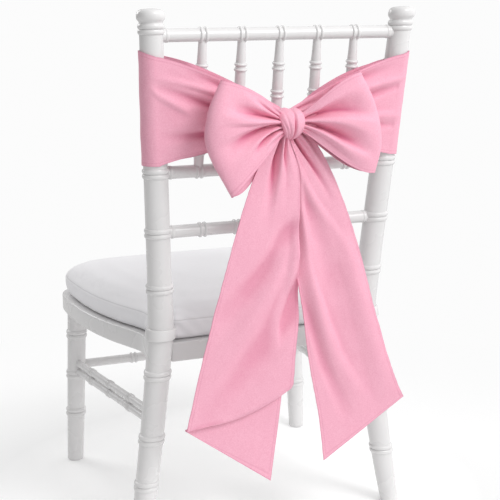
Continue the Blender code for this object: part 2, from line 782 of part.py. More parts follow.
def build_sash():
    """Every length of the cloth fused to the knot in one body."""
    lengths = []
    round_the_post = between(0.0, BAND_NEAR_SHARE, 8) + between(BAND_NEAR_SHARE, BAND_FAR_SHARE, 9)[1:]
    round_the_post += between(BAND_FAR_SHARE, 1.0, 7)[1:]
    for name, side, lift, far_fall in BAND_SIDES:
        surface = band_surface(side, lift, far_fall)
        lengths.append(cloth_solid(f"guide_band_{name}", surface, round_the_post, between(0.0, 1.0, 9)))
    for name in ("left", "right"):
        surface = loop_surface(LOOPS[name], LOOP_CREASES[name])
        steps = between(-1.0, 1.0, 23)
        lengths.append(cloth_solid(f"guide_loop_{name}", surface, steps, between(0.0, 1.0, 13)))
    surface = pleated_tail_surface(TAILS["left"], PLEAT, TAIL_CREASES["left"])
    levels = between(0.0, 1.0, 13) + between(1.0, 2.0, 1 + len(PLEAT))[1:]
    lengths.append(cloth_solid("guide_tail_left", surface, levels, between(0.0, 1.0, 10)))
    surface = tail_surface(TAILS["right"], TAIL_CREASES["right"])
    levels = between(0.0, 1.0, 14)
    lengths.append(cloth_solid("guide_tail_right", surface, levels, between(0.0, 1.0, 10)))
    sash = knot_surface("sash")
    for length in lengths:
        union = sash.modifiers.new(length.name, "BOOLEAN")
        union.operation = "UNION"
        union.solver = "EXACT"
        union.object = as_guide(length)


# ---------------------------------------------------------------- assembly
def build_chair():
    build_back_post(-1, "back_post_left")
    build_back_post(1, "back_post_right")
    build_back_rail("top_rail", TOP_RAIL_Z, spindle_places())
    build_back_rail("mid_rail", MID_RAIL_Z, MID_RAIL_RINGS)
    build_back_rail("low_rail", LOW_RAIL_Z, LOW_RAIL_RINGS)
    for index, x in enumerate(spindle_places(), start=1):
        build_spindle(index, x)
    build_front_leg(-1, "front_leg_left")
    build_front_leg(1, "front_leg_right")
    build_front_stretcher()
    for side, word in ((-1, "left"), (1, "right")):
        for level, front_z, rear_z, front_proud in SIDE_STRETCHERS:
            name = f"side_stretcher_{word}_{level}"
            build_side_stretcher(side, name, front_z, rear_z, front_proud)
    build_seat_board()
    build_seat_pad()


def main():
    clear_scene()
    build_chair()
    build_sash()


main()
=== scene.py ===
# %% [markdown]
# # A sash tied in a bow on a ballroom chair
# The real thing is the work of three makers: a turner's chair in white paint, an upholsterer's
# loose pad, and one hemmed strip of pink polyester, about three metres long, that goes round the
# back of the chair and is tied behind it. A packed set of plain solids gives the frame. This
# lesson lays the finer pieces over it, each with its own finish, in metres, with +Y to the front.

# %% Load the frame and note its size
import math

import bmesh
import bpy
import numpy
from mathutils import Matrix, Vector, noise


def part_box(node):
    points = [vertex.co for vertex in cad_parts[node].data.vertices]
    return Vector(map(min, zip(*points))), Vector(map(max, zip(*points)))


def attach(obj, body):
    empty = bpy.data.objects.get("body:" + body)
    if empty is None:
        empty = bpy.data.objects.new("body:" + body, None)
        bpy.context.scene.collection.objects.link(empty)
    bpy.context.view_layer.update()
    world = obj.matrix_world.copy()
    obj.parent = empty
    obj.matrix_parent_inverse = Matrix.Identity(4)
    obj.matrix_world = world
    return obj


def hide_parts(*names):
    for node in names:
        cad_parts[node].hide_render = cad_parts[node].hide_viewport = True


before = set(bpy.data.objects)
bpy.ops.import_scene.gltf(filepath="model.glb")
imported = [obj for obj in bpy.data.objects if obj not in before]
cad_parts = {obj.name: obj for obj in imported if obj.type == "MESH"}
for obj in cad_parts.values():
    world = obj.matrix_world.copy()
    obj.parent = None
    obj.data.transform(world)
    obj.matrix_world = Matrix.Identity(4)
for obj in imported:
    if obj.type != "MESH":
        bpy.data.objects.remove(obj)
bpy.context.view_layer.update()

# %% [markdown]
# ## Sizes
# A turner works from a full-size drawing, and so does this lesson. The levels are read from the
# frame, and the shapes of posts, seat and cloth are worked out from these few driving sizes.

# %% Levels read from the frame, and the chair's driving sizes
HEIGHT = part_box("back_post_right")[1].z
BOARD_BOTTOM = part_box("seat_board")[0].z
BOARD_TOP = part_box("seat_board")[1].z
PAD_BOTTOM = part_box("seat_pad")[0].z
SEAT_REAR = 0.002            # rear of the board, forward of the back line
BACK_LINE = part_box("seat_board")[0].y - SEAT_REAR      # y of the posts at seat level
SEAT_LEVEL = 0.385           # above it the posts lean back, below it they splay
SPREAD_AT_SEAT = 0.194       # from the chair's middle to a post's, at seat level
SPREAD_AT_TOP = 0.2235
RAKE = 0.071                 # how far the posts' tops lean back
SPLAY_OUT = 0.054            # how far a rear foot stands outwards
SPLAY_BACK = 0.016           # and backwards
SPLAY_SHARES = (0.72, 0.28)  # the straight and the curved share of the way outwards
FRONT_LEG_FORWARD = 0.420    # from the back line
FRONT_LEG_SPREAD = 0.237     # from the chair's middle, under the board
FRONT_LEG_SPLAY = 0.014
SIDES = (("left", -1), ("right", 1))


def post_centre(side, z):
    """Centre of a back post at a height, upright part and splayed leg alike."""
    if z >= SEAT_LEVEL:
        share = (z - SEAT_LEVEL) / (HEIGHT - SEAT_LEVEL)
        out = SPREAD_AT_SEAT + (SPREAD_AT_TOP - SPREAD_AT_SEAT) * share
        return Vector((side * out, BACK_LINE - RAKE * share, z))
    share = (SEAT_LEVEL - z) / SEAT_LEVEL
    out = SPREAD_AT_SEAT + SPLAY_OUT * (SPLAY_SHARES[0] * share + SPLAY_SHARES[1] * share ** 2)
    return Vector((side * out, BACK_LINE - SPLAY_BACK * share, z))


def front_leg_centre(side, z):
    """Centre of a front leg at a height."""
    share = (BOARD_BOTTOM - z) / BOARD_BOTTOM
    out = FRONT_LEG_SPREAD + FRONT_LEG_SPLAY * share
    return Vector((side * out, BACK_LINE + FRONT_LEG_FORWARD, z))


print("back line y:", round(BACK_LINE, 4), "post top:", post_centre(1, HEIGHT)[:])

# %% [markdown]
# ## A clean start for every piece
# An operator acts on everything that is selected, and loading the frame leaves its solids
# selected. So every piece begins by leaving edit mode and deselecting all. Every finished piece
# is smoothed by angle and tied to the body that it moves with, and the solid that it stands for
# is hidden.

# %% Helpers for starting and finishing a piece
SLOT_PIECES = {"chair_paint": [], "pad_cloth": [], "sash_cloth": []}


def start_clean():
    """Leaves edit mode and deselects all."""
    if bpy.context.mode != "OBJECT":
        bpy.ops.object.mode_set(mode="OBJECT")
    bpy.ops.object.select_all(action="DESELECT")


def take(piece):
    """Makes one piece the only selected and active one."""
    start_clean()
    piece.select_set(True)
    bpy.context.view_layer.objects.active = piece


def apply_modifiers(piece):
    """Makes what a piece's modifiers show its real mesh."""
    take(piece)
    for modifier in list(piece.modifiers):
        bpy.ops.object.modifier_apply(modifier=modifier.name)


def finish_piece(piece, name, slot, *nodes, angle=35):
    """Names, smooths and registers a piece whose place is already in its mesh."""
    take(piece)
    bpy.ops.object.transform_apply(location=True, rotation=True, scale=True)
    bpy.ops.object.shade_smooth_by_angle(angle=math.radians(angle))
    piece.name = name
    piece.data.name = name
    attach(piece, "root")
    if nodes:
        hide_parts(*nodes)
    SLOT_PIECES[slot].append(piece)
    return piece


def copy_of(piece):
    """A copy with a mesh of its own."""
    twin = piece.copy()
    twin.data = piece.data.copy()
    bpy.context.collection.objects.link(twin)
    return twin


# %% [markdown]
# ## The lathe
# Posts, legs, rails and spindles are all turned. A cylinder would have no rings or swelling, and
# stacked cylinders leave seams. So one point is drawn out into half an outline, as a turner's
# template, and spun once round the axis. The outline starts and ends on the axis, which closes
# both ends without a cap.

# %% Spin a template into a closed piece
LATHE_STEPS = 36
WELD = 1e-5                  # points closer than this become one


def turned(rows):
    """A closed piece about Z from (height, radius) rows that start and end on the axis."""
    start_clean()
    bpy.ops.mesh.primitive_plane_add(size=0.01)        # merged to one point, so any size will do
    piece = bpy.context.object
    bpy.ops.object.mode_set(mode="EDIT")
    bpy.ops.mesh.select_all(action="SELECT")
    bpy.ops.mesh.merge(type="CENTER")
    height, radius = rows[0]
    bpy.ops.transform.translate(value=(radius, 0.0, height))
    for (z0, r0), (z1, r1) in zip(rows, rows[1:]):
        step = (r1 - r0, 0.0, z1 - z0)
        bpy.ops.mesh.extrude_vertices_move(TRANSFORM_OT_translate={"value": step})
    bpy.ops.mesh.select_all(action="SELECT")
    bpy.ops.mesh.spin(steps=LATHE_STEPS, angle=2 * math.pi, center=(0, 0, 0), axis=(0, 0, 1))
    bpy.ops.mesh.select_all(action="SELECT")
    bpy.ops.mesh.remove_doubles(threshold=WELD)
    bpy.ops.mesh.normals_make_consistent(inside=False)
    bpy.ops.object.mode_set(mode="OBJECT")
    return piece


# %% [markdown]
# ## Rings
# The rings that copy bamboo come in pairs. On the lathe each is a small half round left proud of
# the shaft. A ring is worked out as half a circle, squashed to its height, and plain stations of
# the shaft are left out wherever a ring stands.

# %% A template from a shaft and its rings
RING_POINTS = 6
RING_STEP = 0.0043           # from the middle of a pair to the middle of each ring
SINGLE_RING_PROUD = 0.0008   # a ring that stands alone is nearly flat
EDGE = 0.0004                # keeps the foot of a ring crisp


def ring_rows(at, radius, proud, half):
    """Rows of one ring, half a circle squashed to its height."""
    rows = []
    for k in range(RING_POINTS + 1):
        turn = math.pi * k / RING_POINTS
        rows.append((at - half * math.cos(turn), radius + proud * math.sin(turn)))
    return rows


def template(start, end, radius_at, pairs, proud, half, singles=(), stations=24):
    """Rows from the axis at start, along the shaft with its rings, to the axis at end.

    Singles are the middles of flatter rings that stand alone.
    """
    paired = [at + step for at in pairs for step in (-RING_STEP, RING_STEP)]
    rows = [row for at in paired for row in ring_rows(at, radius_at(at), proud, half)]
    for at in singles:
        rows += ring_rows(at, radius_at(at), SINGLE_RING_PROUD, half)
    for k in range(stations + 1):
        z = start + (end - start) * k / stations
        if all(abs(z - at) > half + EDGE for at in paired + list(singles)):
            rows.append((z, radius_at(z)))
    rows.sort()
    return [(rows[0][0], 0.0)] + rows + [(rows[-1][0], 0.0)]


def reading(table):
    """Turns a short table of (height, radius) into a function of height."""
    def radius_at(z):
        for (z0, r0), (z1, r1) in zip(table, table[1:]):
            if z <= z1:
                share = max(0.0, (z - z0) / (z1 - z0))
                return r0 + (r1 - r0) * share
        return table[-1][1]
    return radius_at


# %% [markdown]
# ## Back posts
# Each back post is one long turning that is then bent in steam: straight legs splay out and
# back below the seat, and the upper half leans back and spreads. It carries seven pairs of
# rings, a collar at seat level and a rounded cap on a short neck. It is turned straight, then
# every level is moved to its place on the bent line.

# %% The template of a back post
POST_SHAFT = ((0.000, 0.0168), (0.050, 0.0186), (0.150, 0.0204), (0.300, 0.0216),
              (0.400, 0.0222), (0.500, 0.0206), (0.660, 0.0203), (0.900, 0.0189))
POST_RINGS = (0.107, 0.189, 0.302, 0.4545, 0.553, 0.655, 0.888)
POST_RING_PROUD = 0.0025
POST_RING_HALF = 0.0041
FOOT_HEIGHT = 0.0046         # the shaft starts here, above the rounded foot
NECK_HEIGHT = 0.897          # and ends here, below the cap
POST_STATIONS = 40
COLLAR_TEMPLATE = ((0.3640, 0.0224), (0.3644, 0.0254), (0.3656, 0.0266), (0.3816, 0.0266),
                   (0.3832, 0.0258), (0.3838, 0.0240), (0.3835, 0.0224))
CAP_TEMPLATE = ((0.8978, 0.0186), (0.8992, 0.0190), (0.9008, 0.0202), (0.9026, 0.0217),
                (0.9050, 0.0226), (0.9085, 0.0228), (0.9120, 0.0224), (0.9150, 0.0211),
                (0.9173, 0.0188), (0.9188, 0.0152), (0.9196, 0.0100), (0.9200, 0.0040))
POST_FOOT = ((0.0000, 0.0140), (0.0006, 0.0155), (0.0022, 0.0165), (0.0045, 0.0170))


def with_block(rows, block):
    """Rows of a template with a block of rows in place of what it covers."""
    low, high = min(z for z, _ in block), max(z for z, _ in block)
    before = [row for row in rows if row[0] < low - EDGE]
    after = [row for row in rows if row[0] > high + EDGE]
    return before + list(block) + after


shaft_rows = template(FOOT_HEIGHT, NECK_HEIGHT, reading(POST_SHAFT), POST_RINGS, POST_RING_PROUD,
                      POST_RING_HALF, stations=POST_STATIONS)
post_rows = [(0.0, 0.0)] + list(POST_FOOT) + with_block(shaft_rows, COLLAR_TEMPLATE)[1:-1]
post_rows += list(CAP_TEMPLATE) + [(HEIGHT, 0.0)]
print("post template rows:", len(post_rows))


# %% Turn one back post, bend it, and mirror its twin
def bent_pair(rows, centre_at, name, node):
    """Turns a template once and moves every level of two copies to its own centre."""
    straight = turned(rows)
    for word, side in SIDES:
        piece = copy_of(straight)
        for vertex in piece.data.vertices:
            middle = centre_at(side, vertex.co.z)
            vertex.co.x += middle.x
            vertex.co.y += middle.y
        finish_piece(piece, f"{name}_{word}", "chair_paint", f"{node}_{word}")
        print(piece.name, "faces:", len(piece.data.polygons))
    bpy.data.objects.remove(straight)


bent_pair(post_rows, post_centre, "turned_post", "back_post")

# %% [markdown]
# ## Front legs
# The front legs are shorter turnings that stand almost upright under the seat board, with three
# pairs of rings each. They are made with the same lathe.

# %% Turn the front legs
LEG_SHAFT = ((0.000, 0.0162), (0.100, 0.0176), (0.330, 0.0188))
LEG_RINGS = (0.104, 0.184, 0.268)
LEG_FOOT = ((0.0000, 0.0134), (0.0006, 0.0149), (0.0022, 0.0159), (0.0045, 0.0164))
LEG_TENON = 0.004            # how far the leg runs on into the board

leg_rows = template(FOOT_HEIGHT, BOARD_BOTTOM + LEG_TENON, reading(LEG_SHAFT), LEG_RINGS,
                    POST_RING_PROUD, POST_RING_HALF)
leg_rows = [(0.0, 0.0)] + list(LEG_FOOT) + leg_rows[1:]
bent_pair(leg_rows, front_leg_centre, "turned_leg", "front_leg")

# %% [markdown]
# ## Rails, spindles and stretchers
# Every rod is turned along Z, then aimed from one socket to the other. Each end runs on into
# the post or rail that holds it, as a glued tenon does, so no gap shows at the joint.

# %% A rod between two points
ROD_RING_HALF = 0.0026
ROD_RING_PROUD = 0.0024
ROD_STATIONS = 12


def rod(name, node, start, end, radius_at, pairs, singles=(), proud=ROD_RING_PROUD):
    """A turned rod from start to end, with ring pairs at distances along it."""
    rows = template(0.0, (end - start).length, radius_at, pairs, proud, ROD_RING_HALF, singles,
                    ROD_STATIONS)
    piece = turned(rows)
    piece.rotation_mode = "QUATERNION"
    piece.rotation_quaternion = (end - start).to_track_quat("Z", "Y")
    piece.location = start
    return finish_piece(piece, name, "chair_paint", node)


# %% The three back rails
RAIL_RADIUS = 0.0107
SPINDLE_PITCH = 0.0675
SPINDLE_X = [(k - 2) * SPINDLE_PITCH for k in range(5)]
RAIL_RINGS = {
    "top_rail": SPINDLE_X,
    "mid_rail": (-0.1345, 0.0, 0.1345),
    "low_rail": (-0.1250, -0.0620, 0.0620, 0.1250),
}
SOCKET_RING_IN = 0.0245      # a single ring stands this far in from each post's middle

rail_height = {}
for node, ring_x in RAIL_RINGS.items():
    low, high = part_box(node)
    rail_height[node] = (low.z + high.z) / 2
    left = post_centre(-1, rail_height[node])
    right = post_centre(1, rail_height[node])
    pairs = [x - left.x for x in ring_x]
    singles = (SOCKET_RING_IN, right.x - left.x - SOCKET_RING_IN)
    rod(f"turned_{node}", node, left, right, lambda z: RAIL_RADIUS, pairs, singles)
print("rail heights:", {node: round(z, 3) for node, z in rail_height.items()})

# %% The five spindles, each a little thinner at both ends
SPINDLE_SHAFT = ((0.000, 0.0074), (0.030, 0.0088), (0.120, 0.0092), (0.165, 0.0088),
                 (0.215, 0.0066))
SPINDLE_RING_HEIGHTS = (0.690, 0.734, 0.779, 0.825)

low_z, high_z = rail_height["mid_rail"], rail_height["top_rail"]
low_y, high_y = post_centre(1, low_z).y, post_centre(1, high_z).y
for number, x in enumerate(SPINDLE_X, start=1):
    foot = Vector((x, low_y, low_z))
    head = Vector((x, high_y, high_z))
    stretch = (head - foot).length / (high_z - low_z)
    pairs = [(z - low_z) * stretch for z in SPINDLE_RING_HEIGHTS]
    rod(f"turned_spindle_{number}", f"spindle_{number}", foot, head, reading(SPINDLE_SHAFT), pairs)
print("spindles at x:", [round(x, 4) for x in SPINDLE_X])

# %% The stretchers between the legs
FRONT_STRETCHER_Z = 0.202
FRONT_STRETCHER_RADIUS = 0.0088
FRONT_RING_SHARES = (0.25, 0.50, 0.75)
SIDE_STRETCHER_RADIUS = 0.0068
SIDE_RING_SHARES = (0.27, 0.52, 0.76)
SIDE_RING_PROUD = 0.0015
SIDE_LEVELS = {"upper": (0.207, 0.2320), "lower": (0.190, 0.2155)}     # front leg, back post

left = front_leg_centre(-1, FRONT_STRETCHER_Z)
right = front_leg_centre(1, FRONT_STRETCHER_Z)
pairs = [(right.x - left.x) * share for share in FRONT_RING_SHARES]
rod("turned_front_stretcher", "front_stretcher", left, right, lambda z: FRONT_STRETCHER_RADIUS,
    pairs)
for word, side in SIDES:
    for level, (front_z, rear_z) in SIDE_LEVELS.items():
        rear = post_centre(side, rear_z)
        front = front_leg_centre(side, front_z)
        pairs = [(front - rear).length * share for share in SIDE_RING_SHARES]
        rod(f"turned_side_stretcher_{word}_{level}", f"side_stretcher_{word}_{level}", rear, front,
            lambda z: SIDE_STRETCHER_RADIUS, pairs, proud=SIDE_RING_PROUD)
print("turned pieces so far:", len(SLOT_PIECES["chair_paint"]))

# %% [markdown]
# ## The seat board
# The seat is a thick board, sawn to a rounded trapezium that is notched round the back posts,
# with its edges eased by a router. Its outline is the curve of one side, mirrored, with an arc
# for each notch. A disc is given that outline, extruded to the board's thickness, and bevelled.

# %% The outline of the seat
SEAT_SIDE = ((0.045, 0.2075), (0.080, 0.2090), (0.115, 0.2220), (0.160, 0.2400), (0.220, 0.2570),
             (0.290, 0.2680), (0.360, 0.2720), (0.410, 0.2680), (0.440, 0.2500), (0.457, 0.2150),
             (0.463, 0.1400))    # forward of the back line, half width
NOTCH_RADIUS = 0.0226
NOTCH_STEPS = 13
SIDE_STEPS = 61


def smooth_reading(values, share):
    """A smooth curve through evenly spaced values, read at a share from 0 to 1."""
    place = min(max(share, 0.0), 1.0) * (len(values) - 1)
    i = min(int(place), len(values) - 2)
    t = place - i
    b, c = values[i], values[i + 1]
    a = values[i - 1] if i > 0 else 2 * b - c
    d = values[i + 2] if i + 2 < len(values) else 2 * c - b
    return 0.5 * (2 * b + (c - a) * t + (2 * a - 5 * b + 4 * c - d) * t ** 2
                  + (3 * b - a - 3 * c + d) * t ** 3)


def seat_outline(inset, notch_radius):
    """Points round the seat, notches included, drawn in by an inset."""
    post = post_centre(1, BOARD_TOP)
    forward_of_line = post.y - BACK_LINE
    start = math.pi - math.asin((SEAT_REAR + inset - forward_of_line) / notch_radius)
    end = math.acos((SEAT_SIDE[0][1] - inset - post.x) / notch_radius)
    half = []
    for k in range(NOTCH_STEPS):
        angle = start + (end - start) * k / (NOTCH_STEPS - 1)
        half.append((forward_of_line + notch_radius * math.sin(angle),
                     post.x + notch_radius * math.cos(angle)))
    columns = list(zip(*SEAT_SIDE))
    shares = [k / (SIDE_STEPS - 1) for k in range(SIDE_STEPS)]
    side = [tuple(smooth_reading(column, share) for column in columns) for share in shares]
    for i, (forward, width) in enumerate(side):
        before, after = side[max(i - 1, 0)], side[min(i + 1, len(side) - 1)]
        along = Vector((after[0] - before[0], after[1] - before[1])).normalized()
        half.append((forward + along.y * inset, width - along.x * inset))
    right = [Vector((width, BACK_LINE + forward, 0.0)) for forward, width in half]
    return right + [Vector((-p.x, p.y, 0.0)) for p in reversed(right)]


print("points round the seat:", len(seat_outline(0.0, NOTCH_RADIUS)))

# %% How the seat leans back
SEAT_RUN = 0.40              # the lean dies away over this depth
SEAT_DROP = 0.0045           # of the board's top below the frame's level, all over
SEAT_LEAN = 0.0050           # and this much more at the rear
BOARD_THINNER = 0.0030       # lift of the underside at the front
BOARD_LOWER = 0.0090         # and how much lower it is at the rear


def seat_slope(y):
    """1 at the rear edge of the seat, 0 at its front."""
    return min(max(1 - (y - BACK_LINE) / SEAT_RUN, 0.0), 1.0)


def seat_drop(y):
    """How far the top of the board stands below the frame's level."""
    return SEAT_DROP + SEAT_LEAN * seat_slope(y)


print("drop of the rear edge in mm:", round(1000 * seat_drop(BACK_LINE), 2))

# %% Saw, thicken and ease the board
BOARD_EASE = 0.0035
EASE_STEPS = 4
EASE_ANGLE = 60              # edges sharper than this are eased

start_clean()
outline = seat_outline(0.0, NOTCH_RADIUS)
bpy.ops.mesh.primitive_circle_add(vertices=len(outline), radius=0.1, fill_type="NGON")
board = bpy.context.object
for vertex, point in zip(board.data.vertices, outline):
    vertex.co = (point.x, point.y, BOARD_BOTTOM)
bpy.ops.object.mode_set(mode="EDIT")
bpy.ops.mesh.select_all(action="SELECT")
thickness = (0, 0, BOARD_TOP - BOARD_BOTTOM)
bpy.ops.mesh.extrude_region_move(TRANSFORM_OT_translate={"value": thickness})
bpy.ops.mesh.select_all(action="SELECT")
bpy.ops.mesh.normals_make_consistent(inside=False)
bpy.ops.object.mode_set(mode="OBJECT")
for vertex in board.data.vertices:
    if vertex.co.z > (BOARD_TOP + BOARD_BOTTOM) / 2:
        vertex.co.z -= seat_drop(vertex.co.y)
    else:
        vertex.co.z += BOARD_THINNER - BOARD_LOWER * seat_slope(vertex.co.y)
ease = board.modifiers.new("ease", "BEVEL")
ease.width = BOARD_EASE
ease.segments = EASE_STEPS
ease.limit_method = "ANGLE"
ease.angle_limit = math.radians(EASE_ANGLE)
apply_modifiers(board)
finish_piece(board, "seat_frame_board", "chair_paint", "seat_board", angle=50)
print("board faces:", len(board.data.polygons))

# %% [markdown]
# ## The seat pad
# The pad is foam in a boxed cover: a top panel and a side panel meet at a seam, and the foam
# pushes both out between the seams. A bevelled block would look hard. So a plain shape of the
# pad is remeshed evenly and blown up for a few frames with cloth pressure. Each point may only
# move a few millimetres, which keeps the pad in its place.

# %% A plain pad, a little small, from rings of the seat's outline
COLLAR_RADIUS = 0.0266
# Each level is (height above the underside, inset, gap to the posts' collars).
PAD_LEVELS = ((0.0004, 0.0100, 0.0080), (0.0045, 0.0050, 0.0045), (0.0160, 0.0030, 0.0040),
              (0.0280, 0.0035, 0.0040), (0.0360, 0.0060, 0.0060), (0.0450, 0.0150, 0.0120))
PAD_CROWN = ((0.0550, 0.90), (0.0635, 0.72), (0.0675, 0.40))     # height, share of the last ring
PAD_MIDDLE = Vector((0.0, BACK_LINE + 0.235, 0.0))

build = bmesh.new()
rings = []
for height, inset, off_collar in PAD_LEVELS:
    outline = seat_outline(inset, COLLAR_RADIUS + off_collar)
    rings.append([build.verts.new((p.x, p.y, PAD_BOTTOM + height)) for p in outline])
rim = [Vector((vert.co.x, vert.co.y, 0.0)) for vert in rings[-1]]
for height, share in PAD_CROWN:
    places = [PAD_MIDDLE.lerp(p, share) for p in rim]
    rings.append([build.verts.new((p.x, p.y, PAD_BOTTOM + height)) for p in places])
for lower, upper in zip(rings, rings[1:]):
    for k in range(len(lower)):
        n = (k + 1) % len(lower)
        build.faces.new((lower[k], lower[n], upper[n], upper[k]))
build.faces.new(list(reversed(rings[0])))
build.faces.new(rings[-1])
bmesh.ops.recalc_face_normals(build, faces=build.faces)
pad = bpy.data.objects.new("pad", bpy.data.meshes.new("pad"))
bpy.context.collection.objects.link(pad)
build.to_mesh(pad.data)
build.free()
print("rings of the plain pad:", len(rings))

# %% Blow the pad up inside its cover
PAD_VOXEL = 0.0062
PAD_PRESSURE = 4.0
PAD_FRAMES = 16
PAD_MOVE = 0.0050            # the furthest that a point may move
SEAM_HEIGHT = 0.0360         # of the seam above the underside
SEAM_REACH = 0.0090          # the seam holds the cover back this far up and down
SEAM_HOLD = 0.85

evenly = pad.modifiers.new("evenly", "REMESH")
evenly.mode = "VOXEL"
evenly.voxel_size = PAD_VOXEL
apply_modifiers(pad)
before = [vertex.co.copy() for vertex in pad.data.vertices]
cover = pad.modifiers.new("cover", "CLOTH")
cover.settings.use_pressure = True
cover.settings.uniform_pressure_force = PAD_PRESSURE
cover.settings.effector_weights.gravity = 0.0
for moment in range(1, PAD_FRAMES + 1):
    bpy.context.scene.frame_set(moment)
blown = pad.evaluated_get(bpy.context.evaluated_depsgraph_get()).data
moves = [after.co - start for after, start in zip(blown.vertices, before)]
pad.modifiers.remove(cover)
bpy.context.scene.frame_set(1)
for vertex, start, move in zip(pad.data.vertices, before, moves):
    held = SEAM_HOLD * max(0.0, 1.0 - abs(start.z - PAD_BOTTOM - SEAM_HEIGHT) / SEAM_REACH)
    vertex.co = start + move * (1 - held) * min(1.0, PAD_MOVE / max(move.length, 1e-9))
top = max(vertex.co.z for vertex in pad.data.vertices)
print("pad points:", len(pad.data.vertices), "top:", round(top, 4))

# %% Draw the cover in at its seam, rumple it, and crumple it beside the posts
SEAM_HALF = 0.0045
SEAM_DEPTH = 0.0018
SEAM_SHARE = 0.35            # of the depth that the seam keeps where the cover faces up
RUMPLE = 0.0017              # height of the side panel's small waves
RUMPLE_ALONG = 26            # and how close they lie, along it and up it
RUMPLE_UP = 60
TOP_WAVE = 0.0012
TOP_WAVE_CLOSE = 9.0
GATHER = 0.0030              # the side panel crumples beside the two posts
GATHER_REACH = 0.075
GATHER_FADE = 1.5
GATHER_WAVES = 7.0
GATHER_TWIST = 210.0
GATHER_FAN = 260.0


def gathered(place, level):
    """Height of the crumples beside the nearer post, before the cover's facing counts."""
    post = post_centre(1 if place.x > 0 else -1, BOARD_TOP)
    from_post = Vector((place.x - post.x, place.y - post.y))
    pull = max(0.0, 1.0 - max(0.0, from_post.length - COLLAR_RADIUS) / GATHER_REACH)
    turn = math.atan2(from_post.y, from_post.x)
    phase = GATHER_WAVES * turn + GATHER_TWIST * level + GATHER_FAN * from_post.length
    return GATHER * pull ** GATHER_FADE * math.sin(phase)


subdivide = pad.modifiers.new("subdivide", "SUBSURF")
subdivide.levels = 1
subdivide.render_levels = 1
apply_modifiers(pad)
for vertex, normal in [(v, v.normal.copy()) for v in pad.data.vertices]:
    place = vertex.co.copy()
    level = place.z - PAD_BOTTOM
    side_facing = 1.0 - abs(normal.z)
    spot = Vector((place.x * RUMPLE_ALONG, place.y * RUMPLE_ALONG, place.z * RUMPLE_UP))
    fine = noise.noise(spot) * RUMPLE * side_facing
    fine += gathered(place, level) * side_facing
    broad = noise.noise(place * TOP_WAVE_CLOSE) * TOP_WAVE * max(0.0, normal.z)
    near_seam = max(0.0, 1.0 - abs(level - SEAM_HEIGHT) / SEAM_HALF)
    drawn_in = SEAM_DEPTH * near_seam ** 2 * (SEAM_SHARE + (1 - SEAM_SHARE) * side_facing)
    vertex.co = place + normal * (fine + broad - drawn_in)
    vertex.co.z = max(vertex.co.z, PAD_BOTTOM)
    vertex.co.z -= seat_drop(vertex.co.y)
finish_piece(pad, "padded_seat", "pad_cloth", "seat_pad", angle=80)
print("pad faces:", len(pad.data.polygons))

# %% [markdown]
# ## The sash, a strip of cloth that is tied
# The sash is one strip about 180 mm wide. From the knot it goes out to a post, round it, back
# behind the spindles to the knot on the other side, and is tied in a bow: two loops, two tails
# and a knot. A cloth solver could not be trusted to tie it the same way twice. So each length is
# a sheet over two directions, along the strip and across it, drawn as curves that meet in the
# knot. Folds are then pressed into the sheets, as a hand does after tying.

# %% How a fold is pressed into a sheet
AT_KNOT = 0.02               # a fold that starts within this share comes out of the knot
EARLY = 0.035                # and is already partly there when it comes out
RISE = 0.22                  # share of a fold's run in which it rises
FADE = 0.62                  # share of its run over which it dies away
STEEP = 0.55                 # how much one wall of a fold narrows when it is all steep


def hump(distance):
    """1 in the middle, falling gently to 0 at a distance of 1."""
    return (1 - distance * distance) ** 2 if abs(distance) < 1 else 0.0


def eased(share):
    """Rises gently from 0 to 1 as the share does."""
    share = min(max(share, 0.0), 1.0)
    return share * share * (3 - 2 * share)


def eased_from(share, start, run):
    """Rises gently from 0 at a start to 1 a run further on."""
    return eased((share - start) / run)


def fold_height(folds, along, across):
    """Height of all folds at a place.

    A fold is (path, height, half width at its start, half width at its end, lean). The path is
    evenly spaced along the strip from path[0] to path[1] and gives its place across the strip.
    Lean makes the upper wall steep (1) or the lower one (-1).
    """
    total = 0.0
    for (start, end, *places), height, half_0, half_1, lean in folds:
        share = (along - start) / (end - start)
        if not 0.0 <= share < 1.0:
            continue
        offset = across - smooth_reading(places, share)
        half = half_0 + (half_1 - half_0) * share
        half *= 1 - STEEP * lean if offset < 0 else 1 + STEEP * lean
        early = EARLY / (end - start) if start <= AT_KNOT else 0.0
        rise = eased((share + early) / RISE)
        total += height * rise * eased((1 - share) / FADE) * hump(offset / half)
    return total


def pleat_height(along, across, count, height, reach, start=0.0):
    """Fine gathers that a tight knot makes, dying away within its reach."""
    fade = math.exp(-(along / reach) ** 2)
    return height * fade * math.sin(2 * math.pi * (count * across + start))


# %% [markdown]
# ## The bands round the posts
# Each band leaves the knot, crosses the back of the post, turns round it and returns behind the
# spindles. Its width is gathered to a few centimetres at the knot and spreads to the full width
# at the post. Every level keeps a small gap to the post that it wraps.

# %% A band's curve, from the knot round the post and back
KNOT = Vector((0.001, BACK_LINE - 0.096, 0.7335))
BAND_GAP = 0.0019            # middle of the cloth from the post
BAND_PRESS = 0.0006          # a fold may press it this far towards the post
BAND_NEAR_SHARE = 0.36       # share of the strip from the knot to the post
BAND_FAR_SHARE = 0.62        # share where it has gone round
WRAP_START = 90.0            # degrees round the post; 90 is the rear, 180 the outside
WRAP_END = 318.0
BAND_NEAR_DEPTH = 0.012      # the layers enter the knot this far before its middle
BAND_FAR_DEPTH = 0.022
BAND_KNOT_X = 0.004
BAND_KNOT_HALF_WIDTH = 0.020
SPINDLE_RADIUS = 0.0092
SPINDLE_CLEAR = 0.0026
SPINDLE_BACK = SPINDLE_RADIUS + ROD_RING_PROUD + SPINDLE_CLEAR   # from its middle to the cloth's
BEHIND_SPINDLES_BY = 0.22    # it is fully behind them after this share of its way back
NEAR_PLEATS = (5, 0.0022, 0.30)      # how many, their height and reach
FAR_PLEATS = (3, 0.0015, 0.30)
